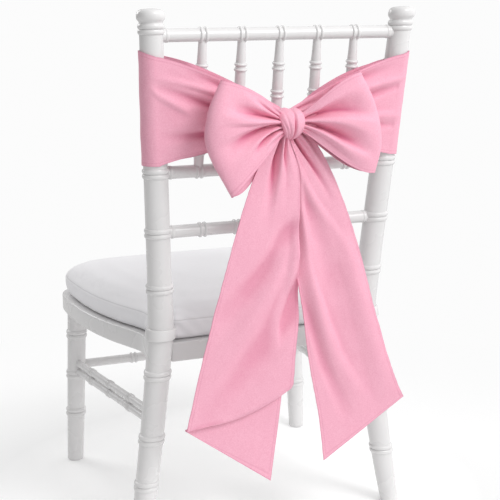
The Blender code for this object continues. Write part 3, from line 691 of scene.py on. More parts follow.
# Half way round the post the upper edge rises and the lower one sinks, and far_drop lowers the
# upper one behind it. A larger fall makes an edge leave its level later on the way to the knot.
BANDS = {
    "left": {"side": -1, "top": 0.8456, "bottom": 0.6695, "rise": 0.009, "sink": 0.000,
             "far_drop": -0.001, "far_knot": 0.025,
             "near_fall": 1.30, "low_fall": 0.80, "far_fall": 1.30},
    "right": {"side": 1, "top": 0.8395, "bottom": 0.6680, "rise": 0.009, "sink": 0.003,
              "far_drop": 0.0095, "far_knot": 0.006,
              "near_fall": 1.30, "low_fall": 1.00, "far_fall": 1.85},
}

post_shaft_at = reading(POST_SHAFT)


def round_post(z, degrees, lift=0.0):
    """A place just off the right post, at a height and so many degrees round it."""
    post = post_centre(1, z)
    reach = post_shaft_at(z) + BAND_GAP + lift
    angle = math.radians(degrees)
    return post - Vector((math.cos(angle), math.sin(angle), 0.0)) * reach


def band_point(spec, folds):
    """Folds are given with 0 at the knot, 1 at the rear of the post and 1.7 behind it."""
    side = spec["side"]

    def level(t, turn):
        z = spec["top"] + (spec["bottom"] - spec["top"]) * t
        z += (spec["rise"] * (1 - t) - spec["sink"] * t) * math.sin(math.pi * turn)
        return z - spec["far_drop"] * (1 - t) * eased(turn)

    def point(s, t):
        if BAND_NEAR_SHARE < s < BAND_FAR_SHARE:
            turn = (s - BAND_NEAR_SHARE) / (BAND_FAR_SHARE - BAND_NEAR_SHARE)
            press = max(fold_height(folds, s / BAND_NEAR_SHARE, t), -BAND_PRESS)
            place = round_post(level(t, turn), WRAP_START + (WRAP_END - WRAP_START) * turn, press)
            return Vector((side * place.x, place.y, place.z))
        near = s <= BAND_NEAR_SHARE
        away = 1 - (s / BAND_NEAR_SHARE if near else (1 - s) / (1 - BAND_FAR_SHARE))
        fall = spec["near_fall"] if near else spec["far_fall"]
        edge = level(t, 0.0 if near else 1.0)
        start = round_post(edge, WRAP_START if near else WRAP_END)
        knot_y = KNOT.y + (BAND_NEAR_DEPTH if near else BAND_FAR_DEPTH)
        knot_z = KNOT.z + (BAND_KNOT_HALF_WIDTH if near else spec["far_knot"]) * (1 - 2 * t)
        place = start.lerp(Vector((BAND_KNOT_X, knot_y, 0.0)), away)
        place.z = edge + (knot_z - edge) * away ** (fall + (spec["low_fall"] - fall) * t)
        if near:
            place.y -= fold_height(folds, 1 - away, t)
            place.y -= pleat_height(1 - away, t, *NEAR_PLEATS)
        else:
            hold = min(1.0, away / BEHIND_SPINDLES_BY)
            clear = post_centre(1, place.z).y - SPINDLE_BACK
            place.y += (min(place.y, clear) - place.y) * hold
            place.y -= abs(pleat_height(1 - away, t, *FAR_PLEATS))
        return Vector((side * place.x, place.y, place.z))
    return point


# %% The folds of both bands
BAND_FOLDS = {
    "left": (
        ((0.10, 0.85, 0.12, 0.06), -0.0050, 0.07, 0.06, 0.0),
        ((0.00, 1.18, 0.24, 0.20, 0.20), 0.0050, 0.06, 0.045, -0.5),
        ((0.00, 1.10, 0.46, 0.36, 0.24), -0.0110, 0.15, 0.05, 0.5),
        ((0.70, 1.14, 0.50, 0.27), 0.0045, 0.07, 0.035, 0.0),
        ((0.00, 1.00, 0.60, 0.62), 0.0055, 0.13, 0.12, -0.3),
        ((0.28, 1.04, 0.72, 0.74), -0.0095, 0.11, 0.08, 0.4),
        ((0.00, 0.85, 0.92, 0.90), 0.0035, 0.07, 0.07, 0.0),
    ),
    "right": (
        ((0.30, 1.05, 0.12, 0.10), -0.0060, 0.10, 0.07, 0.0),
        ((0.30, 1.22, 0.27, 0.24), 0.0055, 0.06, 0.045, -0.5),
        ((0.20, 1.20, 0.42, 0.28), -0.0090, 0.10, 0.045, 0.5),
        ((0.30, 1.22, 0.56, 0.63), 0.0050, 0.09, 0.05, -0.5),
        ((0.20, 1.20, 0.73, 0.68), -0.0080, 0.09, 0.045, 0.5),
    ),
}
print("band folds:", {name: len(folds) for name, folds in BAND_FOLDS.items()})

# %% [markdown]
# ## The loops of the bow
# A loop goes out from the knot on the rear side, turns at its far edge and comes back on the
# chair side, so it is open above and below. The gathers at the knot are deep and narrow and
# spread into a few broad folds before the far edge.

# %% A loop's curve
LOOP_KNOT_X = 0.010
LOOP_START = 0.006           # behind the middle of the knot
LOOP_LEAN = 0.018
LOOP_LAYER_GAP = 0.0055
LOOP_BULGE_FROM = 0.30       # the loop opens within this share of its reach
LOOP_EDGE_OPEN = 0.45        # its two edges open by this share of its middle's opening
BEHIND_LATE = 1.5            # the lower edge of its chair side sinks later on its way out
BACK_FOLD_SHARE = -0.5
# far holds x and z of the far edge from top to bottom, knot the heights of both edges at the
# knot, and bow how far they arch between. open is how far its two sides stand apart, and behind
# is how far both edges of the chair side hang lower.
LOOPS = {
    "left": {"far": ((-0.125, 0.809), (-0.148, 0.755), (-0.149, 0.700), (-0.108, 0.621)),
             "knot": (0.014, -0.014), "bow": (0.010, 0.002), "bow_late": 1.0, "open": 0.040,
             "behind": (0.009, 0.024)},
    "right": {"far": ((0.119, 0.8155), (0.149, 0.758), (0.160, 0.697), (0.149, 0.647)),
              "knot": (0.011, -0.007), "bow": (0.016, -0.021), "bow_late": 2.0, "open": 0.036,
              "behind": (0.014, 0.001)},
}


def between_pair(pair, share):
    """From the first of a pair to the second."""
    return pair[0] + (pair[1] - pair[0]) * share


def loop_point(spec, folds, pleats):
    """q runs from -1 at the knot over 0 at the far edge to 1; below 0 it is the rear side."""
    far_x, far_z = zip(*spec["far"])

    def point(q, t):
        out = math.cos(math.pi * q / 2)
        rear = q < 0
        knot_x = KNOT.x + math.copysign(LOOP_KNOT_X, far_x[0])
        knot_z = KNOT.z + between_pair(spec["knot"], t)
        x = knot_x + (smooth_reading(far_x, t) - knot_x) * out
        z = knot_z + (smooth_reading(far_z, t) - knot_z) * out
        z += between_pair(spec["bow"], t) * 4 * out ** spec["bow_late"] * (1 - out)
        if not rear:
            top, bottom = spec["behind"]
            z -= top * (1 - t) ** 3 * math.sin(math.pi * out)
            z -= bottom * t ** 3 * math.sin(math.pi * out ** BEHIND_LATE)
        full = LOOP_EDGE_OPEN + (1 - LOOP_EDGE_OPEN) * math.sin(math.pi * t)
        full *= eased(out / LOOP_BULGE_FROM)
        depth = -0.5 * spec["open"] * full * math.sin(math.pi * q) - LOOP_LAYER_GAP * q
        pressed = fold_height(folds, out, t) + pleat_height(out, t, *pleats)
        depth += pressed * (1.0 if rear else BACK_FOLD_SHARE)
        return Vector((x, KNOT.y - LOOP_START - LOOP_LEAN * out - depth, z))
    return point


# %% The folds of both loops
LOOP_FOLDS = {
    "left": (
        ((0.00, 0.55, 0.25, 0.10), -0.0055, 0.05, 0.06, 0.0),
        ((0.00, 0.80, 0.31, 0.14), 0.0045, 0.06, 0.12, -0.5),
        ((0.00, 0.98, 0.37, 0.34, 0.24), -0.0120, 0.07, 0.22, -0.9),
        ((0.00, 0.92, 0.44, 0.46, 0.40), 0.0085, 0.06, 0.14, -0.8),
        ((0.00, 1.00, 0.53, 0.66, 0.76), -0.0170, 0.09, 0.17, 0.4),
        ((0.00, 0.88, 0.62, 0.76, 0.82), 0.0055, 0.06, 0.12, -0.4),
        ((0.00, 0.60, 0.69, 0.87), -0.0130, 0.06, 0.08, 0.3),
        ((0.00, 0.55, 0.80, 0.91), 0.0035, 0.06, 0.07, 0.0),
    ),
    "right": (
        ((0.00, 0.80, 0.12, 0.10), 0.0035, 0.07, 0.13, 0.0),
        ((0.00, 1.15, 0.32, 0.30, 0.34, 0.38), -0.0185, 0.08, 0.22, -0.6),
        ((0.00, 0.90, 0.39, 0.45, 0.53), 0.0075, 0.06, 0.15, -0.6),
        ((0.00, 1.00, 0.51, 0.65, 0.77), -0.0170, 0.09, 0.17, -0.3),
        ((0.00, 0.96, 0.62, 0.80, 0.90), 0.0065, 0.07, 0.13, 0.0),
    ),
}
LOOP_PLEATS = {"left": (6.0, 0.0019, 0.16, 0.1), "right": (5.0, 0.0019, 0.16, 0.1)}
print("loop folds:", {name: len(folds) for name, folds in LOOP_FOLDS.items()})

# %% [markdown]
# ## The tails
# The tails hang free from the knot. Each is drawn by its two edges at a few levels, and folds
# that start in the knot run slantwise down it. The left one keeps a fold along its right margin
# and is folded up near its end, so that its slanted end hangs out below as a triangle.

# %% The tails, as their two edges at a few levels
TAILS = {
    "left": (
        (-0.012, 0.728, 0.001, 0.726, 0.098),
        (-0.024, 0.707, 0.004, 0.700, 0.100),
        (-0.055, 0.665, 0.017, 0.655, 0.103),
        (-0.081, 0.605, 0.018, 0.600, 0.106),
        (-0.109, 0.518, 0.015, 0.510, 0.108),
        (-0.134, 0.433, 0.018, 0.425, 0.108),
        (-0.158, 0.345, 0.012, 0.350, 0.106),
        (-0.186, 0.229, 0.008, 0.287, 0.104),
    ),
    "right": (
        (0.001, 0.726, 0.013, 0.728, 0.088),
        (0.003, 0.700, 0.045, 0.709, 0.090),
        (0.012, 0.655, 0.076, 0.660, 0.094),
        (0.012, 0.590, 0.106, 0.590, 0.098),
        (0.0155, 0.500, 0.136, 0.500, 0.101),
        (0.0265, 0.420, 0.163, 0.405, 0.101),
        (0.040, 0.320, 0.194, 0.310, 0.099),
        (0.060, 0.220, 0.2135, 0.262, 0.097),
        (0.071, 0.1355, 0.2285, 0.2335, 0.095),
    ),
}                            # left x, left z, right x, right z, behind the back line
PLEAT = (
    (-0.1860, 0.2284, 0.004, 0.2790, 0.1005),
    (-0.1856, 0.2288, 0.002, 0.2970, 0.0975),
    (-0.1852, 0.2284, -0.006, 0.2950, 0.0945),
    (-0.1854, 0.2272, -0.016, 0.2150, 0.0940),
    (-0.1856, 0.2266, -0.0305, 0.1135, 0.0940),
)                            # the same, on from the left tail's last level
print("levels of each tail:", {name: len(rows) for name, rows in TAILS.items()})

# %% How a tail is read from its levels, and how its edges pucker
PUCKER = 0.0007              # small waves that the stitches draw along both edges
PUCKER_REACH = 0.05
PUCKER_CLOSE = 130
PUCKER_DRIFT = 3             # the waves are not evenly spaced
PUCKER_DRIFT_CLOSE = 31


def tail_reading(rows):
    """A function for a tail's place between its two edges, and its distance behind the line."""
    columns = list(zip(*rows))

    def place_at(s, t):
        left_x, left_z, right_x, right_z, behind = (smooth_reading(c, s) for c in columns)
        return Vector((left_x, 0.0, left_z)).lerp(Vector((right_x, 0.0, right_z)), t), behind
    return place_at


def pucker_height(s, t):
    """Height of the waves along both edges."""
    wave = math.sin(s * PUCKER_CLOSE + PUCKER_DRIFT * math.sin(s * PUCKER_DRIFT_CLOSE))
    return PUCKER * wave * max(0.0, 1 - min(t, 1 - t) / PUCKER_REACH)


# %% A tail's curve, and the folded margin of the left one
TAIL_PLEATS = (4.0, 0.0012, 0.16, 0.35)      # how many, their height, reach and start
MARGIN_BACK = 0.0110         # how far the left tail's right margin stands back
MARGIN_STEP = 0.025          # share of the width over which it steps back
MARGIN_OUT = 0.0055          # and how far outwards
MARGIN_LIP = 0.0060          # rise of the cloth just before the step
MARGIN_LIP_IN = 0.05         # how far before it, and how wide
MARGIN_LIP_HALF = 0.11
MARGIN_CREASE = 1.02         # place of the step across the strip, at first just off its edge
MARGIN_CREASE_IN = 0.22      # and how far it then moves in
MARGIN_MOVES = (0.52, 0.26)  # along the tail, each as a start and a run: it moves in,
MARGIN_RISES = (0.44, 0.12)  # it rises,
MARGIN_DIES = (0.72, 0.14)   # and it dies away


def tail_point(rows, folds, margin=False):
    """A tail with its folds, and with the folded margin that only the left one has."""
    place_at = tail_reading(rows)

    def point(s, t):
        place, behind = place_at(s, t)
        behind += fold_height(folds, s, t)
        behind += pleat_height(s, t, *TAIL_PLEATS)
        if margin:
            crease = MARGIN_CREASE - MARGIN_CREASE_IN * eased_from(s, *MARGIN_MOVES)
            hold = eased_from(s, *MARGIN_RISES) * (1 - eased_from(s, *MARGIN_DIES))
            step = eased_from(t, crease, MARGIN_STEP)
            behind -= MARGIN_BACK * hold * step
            behind += MARGIN_LIP * hold * hump((t - crease + MARGIN_LIP_IN) / MARGIN_LIP_HALF)
            place.x += MARGIN_OUT * hold * step
        behind += pucker_height(s, t)
        place.y = BACK_LINE - behind
        return place
    return point


# %% The left tail's curve, with the fold near its end
END_SAG = 0.0150             # how far this fold hangs below a straight line
SAG_LATE = 1.15              # it hangs lowest a little past the middle
SAG_GROWS = (0.72, 0.28)     # a start and a run on the tail, and the same on the fold
SAG_DIES = (0.4, 0.4)


def pleated_tail_point(rows, pleat, folds):
    """The tail for s up to 1, then the fold near its end and the triangle below it."""
    upper = tail_point(rows, folds, margin=True)
    lower_at = tail_reading((rows[-1],) + pleat)

    def point(s, t):
        sag = END_SAG * math.sin(math.pi * t ** SAG_LATE)
        if s <= 1:
            return upper(s, t) - Vector((0.0, 0.0, sag * eased_from(s, *SAG_GROWS)))
        place, behind = lower_at(s - 1, t)
        place.z -= sag * (1 - eased_from(s - 1, *SAG_DIES))
        place.y = BACK_LINE - behind
        return place
    return point


# %% The folds of both tails
TAIL_FOLDS = {
    "left": (
        ((-0.15, 0.52, 0.27, 0.30, 0.39, 0.45, 0.46), -0.0230, 0.10, 0.15, -0.5),
        ((-0.15, 0.52, 0.38, 0.41, 0.51, 0.60, 0.64), 0.0065, 0.07, 0.14, 0.0),
        ((-0.15, 0.34, 0.52, 0.54, 0.60, 0.68), -0.0120, 0.07, 0.08, 0.0),
        ((-0.15, 0.44, 0.70, 0.72, 0.80, 0.88), 0.0060, 0.10, 0.14, 0.0),
        ((-0.15, 0.28, 1.02, 1.02), -0.0060, 0.20, 0.10, 0.0),
        ((0.45, 0.80, 0.98, 0.70, 0.30, 0.02), -0.0095, 0.28, 0.30, 0.0),
        ((0.48, 0.92, 0.92, 0.66, 0.36, 0.10), 0.0085, 0.18, 0.22, 0.0),
        ((0.60, 1.04, 1.00, 0.80, 0.50, 0.10), -0.0140, 0.26, 0.34, 0.0),
    ),
    "right": (
        ((-0.15, 0.72, -0.02, -0.02, -0.01, 0.04, 0.06), -0.0380, 0.07, 0.20, 0.0),
        ((-0.15, 0.44, 0.08, 0.09, 0.13, 0.20), 0.0065, 0.06, 0.08, 0.0),
        ((-0.15, 0.38, 0.24, 0.24, 0.28, 0.40, 0.60, 0.82), -0.0190, 0.08, 0.12, 0.3),
        ((-0.15, 0.40, 0.56, 0.58, 0.74, 0.92), 0.0060, 0.14, 0.13, 0.0),
        ((0.12, 0.56, 0.04, 0.14, 0.36, 0.72, 0.94), 0.0040, 0.10, 0.16, 0.0),
        ((0.26, 0.90, -0.08, 0.28, 0.46, 0.46, 0.50, 0.58), -0.0050, 0.20, 0.28, 0.0),
        ((0.40, 1.00, 0.02, 0.14, 0.30, 0.50, 0.62), 0.0075, 0.14, 0.18, 0.0),
        ((0.56, 1.00, 0.02, 0.14, 0.28, 0.42), -0.0050, 0.09, 0.13, 0.0),
        ((0.40, 1.06, 0.80, 0.85, 0.90), 0.0060, 0.20, 0.22, 0.0),
    ),
}
print("tail folds:", {name: len(folds) for name, folds in TAIL_FOLDS.items()})

# %% [markdown]
# ## The knot
# The knot is the same cloth drawn once round the middle of the bow and tucked in behind. It is a
# strap that turns about the X direction, full in its middle and drawn in at both sides, with
# grooves that slant to its bottom, where the pull is.

# %% The knot's strap
KNOT_HALF = Vector((0.0222, 0.0268, 0.0262))
KNOT_FULL = (0.82, 0.38)     # how soon, and how roundly, the strap is drawn in at its sides
KNOT_SIDE_TURN = 0.94
KNOT_GROOVES = (             # across at the top, across at the bottom, depth, half width
    (-0.84, -0.36, 0.0018, 0.15),
    (-0.45, -0.18, 0.0020, 0.12),
    (0.06, 0.10, 0.0088, 0.115),
    (0.62, 0.52, 0.0020, 0.16),
)
GROOVE_FRONT = 0.35          # share of a groove's depth that it keeps on the chair side
GROOVE_TOP = 0.25            # and at the top, from where it deepens
GROOVE_DEEPENS = 1.3
DIP = 0.0024                 # a dip in the top of the strap,
DIP_AT = 0.06                # its place and half width across,
DIP_HALF = 0.30
DIP_DOWN = 0.22              # and how far down it reaches
DRAWN_LEFT = (0.52, 2)       # how far each side is drawn in at the bottom, and how late
DRAWN_RIGHT = (0.30, 3)


def knot_point(turn, w):
    """turn is a share of the way round, from the chair side over the top; w runs from -1 to 1."""
    angle = 2 * math.pi * turn - math.pi
    down = 0.5 - 0.5 * math.sin(angle)             # 0 at the top, 1 at the bottom
    rear = max(0.0, math.cos(angle))               # 1 where it faces the back
    full = math.cos(w * math.pi / 2 * KNOT_FULL[0]) ** KNOT_FULL[1]
    facing = GROOVE_FRONT + (1 - GROOVE_FRONT) * rear
    deepening = GROOVE_TOP + (1 - GROOVE_TOP) * eased(down * GROOVE_DEEPENS)
    groove = 0.0
    for top, bottom, depth, half in KNOT_GROOVES:
        middle = top + (bottom - top) * eased(down)
        groove += depth * facing * deepening * hump((w - middle) / half)
    dip = DIP * hump((w - DIP_AT) / DIP_HALF) * hump(down / DIP_DOWN)
    reach_y = KNOT_HALF.y * full - groove
    reach_z = KNOT_HALF.z * full - groove - dip
    amount, late = DRAWN_LEFT if w < 0 else DRAWN_RIGHT
    x = KNOT_HALF.x * math.sin(w * math.pi / 2 * KNOT_SIDE_TURN) * (1.0 - amount * down ** late)
    return KNOT + Vector((x, -math.cos(angle) * reach_y, math.sin(angle) * reach_z))


print("knot grooves:", len(KNOT_GROOVES))

# %% [markdown]
# ## Cutting the sheets
# Each length becomes a grid of faces. Its map holds distances in metres, across the strip and
# along it, so that weave, hems and stitches keep their true size wherever the cloth goes. Only
# the tails start at 0 on the map, so only they get a hem across an end. All lengths are joined,
# because they are one strip, and then given the cloth's thickness.

# %% A grid of cloth with its map in metres
CLOTH = 0.0013
STRIP = 0.180                # width of the strip
CLOTH_MAP = "cloth_map"
ROUGH = 0.0009               # small unevenness of the cloth
ROUGH_CLOSE = 22.0
FINE_SHARE = 0.35            # share of that height which a finer one has
FINE_CLOSE = 70.0

lengths = []
long_way = {}                # how long each length runs along its middle


def between(start, end, count):
    """Evenly spaced values from a start to an end."""
    return [start + (end - start) * k / (count - 1) for k in range(count)]


def uneven(place):
    """Height of the cloth's small unevenness at a place."""
    coarse = ROUGH * noise.noise(place * ROUGH_CLOSE)
    return coarse + FINE_SHARE * ROUGH * noise.noise(place * FINE_CLOSE)


def cut(name, point, alongs, acrosses, from_end, weld=False):
    """One length as a grid. from_end is the distance along the map at its last row."""
    grid = [[point(s, t) for t in acrosses] for s in alongs]
    middle = len(acrosses) // 2
    run = [0.0]
    for before, after in zip(grid, grid[1:]):
        run.append(run[-1] + (after[middle] - before[middle]).length)
    low, high = acrosses[0], acrosses[-1]
    build = bmesh.new()
    layer = build.loops.layers.uv.new(CLOTH_MAP)
    verts = [[build.verts.new(place) for place in row] for row in grid]
    places = {}
    for i, row in enumerate(verts):
        for j, vert in enumerate(row):
            places[vert] = ((acrosses[j] - low) / (high - low) * STRIP, from_end + run[-1] - run[i])
    for row, following in zip(verts, verts[1:]):
        for j in range(len(acrosses) - 1):
            corners = (row[j], row[j + 1], following[j + 1], following[j])
            for corner in build.faces.new(corners).loops:
                corner[layer].uv = places[corner.vert]
    build.normal_update()
    if weld:
        bmesh.ops.remove_doubles(build, verts=build.verts, dist=WELD)
    for vert in build.verts:
        vert.co += vert.normal * uneven(vert.co)
    mesh = bpy.data.meshes.new(name)
    build.to_mesh(mesh)
    build.free()
    piece = bpy.data.objects.new(name, mesh)
    bpy.context.collection.objects.link(piece)
    lengths.append(piece)
    long_way[name] = run[-1]


# %% Cut all seven lengths
BAND_ALONG = between(0.0, BAND_NEAR_SHARE, 46)
BAND_ALONG += between(BAND_NEAR_SHARE, BAND_FAR_SHARE, 42)[1:]
BAND_ALONG += between(BAND_FAR_SHARE, 1.0, 34)[1:]
BAND_ACROSS = between(0.0, 1.0, 53)
LOOP_ALONG = between(-1.0, 1.0, 104)
LOOP_ACROSS = between(0.0, 1.0, 85)
LEFT_TAIL_ALONG = between(0.0, 1.0, 84) + between(1.0, 2.0, 46)[1:]
RIGHT_TAIL_ALONG = between(0.0, 1.0, 96)
TAIL_ACROSS = between(0.0, 1.0, 55)
KNOT_ALONG = between(0.0, 1.0, 84)
KNOT_ACROSS = between(-1.0, 1.0, 69)
FROM_END = {"tail": 0.0, "loop": 1.0, "band": 2.0, "knot": 3.0}      # metres along the map

for name, spec in BANDS.items():
    point = band_point(spec, BAND_FOLDS[name])
    cut(f"band_{name}", point, BAND_ALONG, BAND_ACROSS, FROM_END["band"])
for name, spec in LOOPS.items():
    point = loop_point(spec, LOOP_FOLDS[name], LOOP_PLEATS[name])
    cut(f"loop_{name}", point, LOOP_ALONG, LOOP_ACROSS, FROM_END["loop"])
point = pleated_tail_point(TAILS["left"], PLEAT, TAIL_FOLDS["left"])
cut("tail_left", point, LEFT_TAIL_ALONG, TAIL_ACROSS, FROM_END["tail"])
point = tail_point(TAILS["right"], TAIL_FOLDS["right"])
cut("tail_right", point, RIGHT_TAIL_ALONG, TAIL_ACROSS, FROM_END["tail"])
cut("knot", knot_point, KNOT_ALONG, KNOT_ACROSS, FROM_END["knot"], weld=True)
print("lengths in mm:", {name: round(1000 * run) for name, run in long_way.items()})
print("whole strip in mm:", round(1000 * sum(long_way.values())))

# %% Join the lengths and give the cloth its thickness
take(lengths[0])
for piece in lengths:
    piece.select_set(True)
bpy.ops.object.join()
sash = bpy.context.object
layers = sash.modifiers.new("layers", "SOLIDIFY")
layers.thickness = CLOTH
layers.offset = 0.0
apply_modifiers(sash)
finish_piece(sash, "tied_sash", "sash_cloth", "sash", angle=80)

# %% [markdown]
# ## How deep each place lies in a fold
# Light that bounces about inside a fold takes up the colour of the cloth, and less light reaches
# the bottom of a deep fold. The finish paints this as painted shade, a darker and richer pink in
# deep folds. The shape is smoothed out on a copy of its points. How far each point lies below the
# smooth shape is kept on the piece for the finish to read, from 0 to 1, and it counts less where
# the cloth is open and loose, away from the knot.

# %% Keep the depth in the folds on the piece
SMOOTH_STEPS = 34
SMOOTH_SHARE = 0.8           # how far a point goes towards its neighbours' middle in a step
DEEP_FOLD = 0.0030           # depth that counts as fully deep
TIGHT_TO_KNOT = 0.095        # folds are tight to this distance from the knot
LOOSE_FROM_KNOT = 0.190      # and open and loose from here on
LOOSE = 0.40


def read_vectors(points, title):
    """Places or normals of all points, as rows of three numbers."""
    flat = numpy.empty(len(points) * 3)
    points.foreach_get(title, flat)
    return flat.reshape(-1, 3)


def fold_depths(piece):
    """How far each point lies below the smoothed shape, in metres."""
    mesh = piece.data
    count = len(mesh.vertices)
    places = read_vectors(mesh.vertices, "co")
    normals = read_vectors(mesh.vertices, "normal")
    ends = numpy.empty(len(mesh.edges) * 2, dtype=numpy.int32)
    mesh.edges.foreach_get("vertices", ends)
    first, second = ends[0::2], ends[1::2]
    near = numpy.bincount(first, minlength=count) + numpy.bincount(second, minlength=count)
    near = numpy.maximum(near, 1)
    smooth = places.copy()
    for step in range(SMOOTH_STEPS):
        for axis in range(3):
            total = numpy.bincount(first, weights=smooth[second, axis], minlength=count)
            total += numpy.bincount(second, weights=smooth[first, axis], minlength=count)
            smooth[:, axis] += SMOOTH_SHARE * (total / near - smooth[:, axis])
    return ((smooth - places) * normals).sum(axis=1)


depths = fold_depths(sash)
away = numpy.array([(vertex.co - KNOT).length for vertex in sash.data.vertices])
tight = (LOOSE_FROM_KNOT - away) / (LOOSE_FROM_KNOT - TIGHT_TO_KNOT)
weight = LOOSE + (1 - LOOSE) * numpy.clip(tight, 0.0, 1.0)
# the depth drives the painted shade of deep folds in the pink finish
kept = sash.data.attributes.new("fold_depth", "FLOAT", "POINT")
kept.data.foreach_set("value", numpy.clip(depths / DEEP_FOLD, 0.0, 1.0) * weight)
print("deepest folds in mm:", round(1000 * float(depths.max()), 2))

# %% [markdown]
# ## The cloth's length
# The strip printed above is 2.99 m long, so its cut length is about 3 m. Sashes of this width
# are more often sold about 2.75 m long, which would give shorter tails.

# %% [markdown]
# ## Finishes
# Two of the three finishes are woven, so the weave is a node group with its own inputs, used by
# both cloths. The group only gives a height and a shade, and each material builds its own colour
# and normal from them. Values that are the same all over, such as sheen, are set on the shader.

# %% Small helpers for nodes
def new_group(name, inputs, outputs):
    """A shader node group with named sockets, each given as (name, socket type, default)."""
    group = bpy.data.node_groups.new(name, "ShaderNodeTree")
    for title, kind, value in inputs:
        socket = group.interface.new_socket(name=title, in_out="INPUT", socket_type=kind)
        if value is not None:
            socket.default_value = value
    for title, kind in outputs:
        group.interface.new_socket(name=title, in_out="OUTPUT", socket_type=kind)
    group.nodes.new("NodeGroupInput")
    group.nodes.new("NodeGroupOutput")
    return group, group.nodes["Group Input"], group.nodes["Group Output"]


def math_node(tree, operation, a, b=None, clamp=False):
    """A Math node; a and b are sockets or numbers."""
    node = tree.nodes.new("ShaderNodeMath")
    node.operation = operation
    node.use_clamp = clamp
    for socket, value in zip(node.inputs, (a, b)):
        if value is None:
            continue
        if isinstance(value, (int, float)):
            socket.default_value = value
        else:
            tree.links.new(value, socket)
    return node.outputs[0]


def noise_node(tree, vector, scale, detail=2.0):
    """Noise from 0 to 1 at a place."""
    node = tree.nodes.new("ShaderNodeTexNoise")
    node.inputs["Scale"].default_value = scale
    node.inputs["Detail"].default_value = detail
    node.inputs["Roughness"].default_value = 0.5
    tree.links.new(vector, node.inputs["Vector"])
    return node.outputs["Fac"]


def vector_node(tree, operation, vector, other=None):
    """A Vector Math node that gives one value."""
    node = tree.nodes.new("ShaderNodeVectorMath")
    node.operation = operation
    tree.links.new(vector, node.inputs[0])
    if other is not None:
        node.inputs[1].default_value = other
    return node.outputs["Value"]


def near_node(tree, distance, reach):
    """1 where a distance is none, falling to 0 where it is the reach."""
    return math_node(tree, "SUBTRACT", 1.0, math_node(tree, "DIVIDE", distance, reach), clamp=True)


def colour_mix(tree, amount, first, second):
    """Mixes two colours by an amount; each may be a socket or a colour."""
    node = tree.nodes.new("ShaderNodeMix")
    node.data_type = "RGBA"
    tree.links.new(amount, node.inputs["Factor"])
    for title, value in (("A", first), ("B", second)):
        socket = [s for s in node.inputs if s.name == title and s.type == "RGBA"][0]
        if isinstance(value, tuple):
            socket.default_value = value
        else:
            tree.links.new(value, socket)
    return [s for s in node.outputs if s.type == "RGBA"][0]


def bump_node(tree, height, strength, distance):
    """A normal from a height."""
    node = tree.nodes.new("ShaderNodeBump")
    node.inputs["Strength"].default_value = strength
    node.inputs["Distance"].default_value = distance
    tree.links.new(height, node.inputs["Height"])
    return node.outputs["Normal"]


# %% The shared weave
SLUB_CLOSE = 900.0           # slubs per metre across a thread
SLUB_LONG = 45.0             # and along it


def build_weave():
    """Warp and weft of a plain weave on a place in metres, with slubs that vary its shade."""
    group, source, result = new_group(
        "plain_weave",
        [("Place", "NodeSocketVector", None), ("Threads per metre", "NodeSocketFloat", 1600.0),
         ("Slub", "NodeSocketFloat", 0.5)],
        [("Height", "NodeSocketFloat"), ("Shade", "NodeSocketFloat")])
    place = source.outputs["Place"]
    split = group.nodes.new("ShaderNodeSeparateXYZ")
    group.links.new(place, split.inputs[0])
    turns = math_node(group, "MULTIPLY", source.outputs["Threads per metre"], math.pi)
    warp = math_node(group, "SINE", math_node(group, "MULTIPLY", split.outputs["X"], turns))
    weft = math_node(group, "SINE", math_node(group, "MULTIPLY", split.outputs["Y"], turns))
    crossing = math_node(group, "MULTIPLY", warp, weft)
    noises = []
    for scale in ((SLUB_CLOSE, SLUB_LONG, SLUB_LONG), (SLUB_LONG, SLUB_CLOSE, SLUB_CLOSE)):
        drawn_out = group.nodes.new("ShaderNodeMapping")
        drawn_out.inputs["Scale"].default_value = scale
        group.links.new(place, drawn_out.inputs["Vector"])
        noises.append(noise_node(group, drawn_out.outputs[0], 1.0, 1.0))
    slubs = math_node(group, "ADD", *noises)
    weighted = math_node(group, "MULTIPLY", slubs, source.outputs["Slub"])
    height = math_node(group, "ADD", math_node(group, "MULTIPLY", crossing, 0.5), weighted)
    group.links.new(height, result.inputs["Height"])
    group.links.new(math_node(group, "MULTIPLY", slubs, 0.5), result.inputs["Shade"])
    return group


WEAVE = build_weave()
print("weave nodes:", len(WEAVE.nodes))


def weave_node(tree, place, threads, slub):
    """The shared weave, on a place in metres."""
    node = tree.nodes.new("ShaderNodeGroup")
    node.node_tree = WEAVE
    node.inputs["Threads per metre"].default_value = threads
    node.inputs["Slub"].default_value = slub
    tree.links.new(place, node.inputs["Place"])
    return node

# %% A new material with its shader
def new_finish(name, colour, roughness):
    """A material, its node tree and its shader."""
    material = bpy.data.materials.new(name)
    material.use_nodes = True
    material.diffuse_color = colour
    shader = material.node_tree.nodes["Principled BSDF"]
    shader.inputs["Base Color"].default_value = colour
    shader.inputs["Roughness"].default_value = roughness
    return material, material.node_tree, shader


# %% [markdown]
# ## White paint
# Such chairs are mostly sprayed with satin white lacquer. One flat colour and one roughness would
# look like a toy. So broad noise makes both drift a little, fine noise gives the grain of a
# sprayed coat as a slight bump, and a thin clear coat on top gives a second, sharper shine.

# %% Satin white paint
PAINT = (0.76, 0.75, 0.75, 1.0)
PAINT_DEEP = (0.71, 0.70, 0.70, 1.0)
PAINT_CLOUDS = 14.0          # per metre
PAINT_GRAIN = 420.0
PAINT_CLOUD_SHARE = 0.7
PAINT_ROUGH = 0.22           # roughness where there is no cloud, and what a cloud adds
PAINT_ROUGHER = 0.10

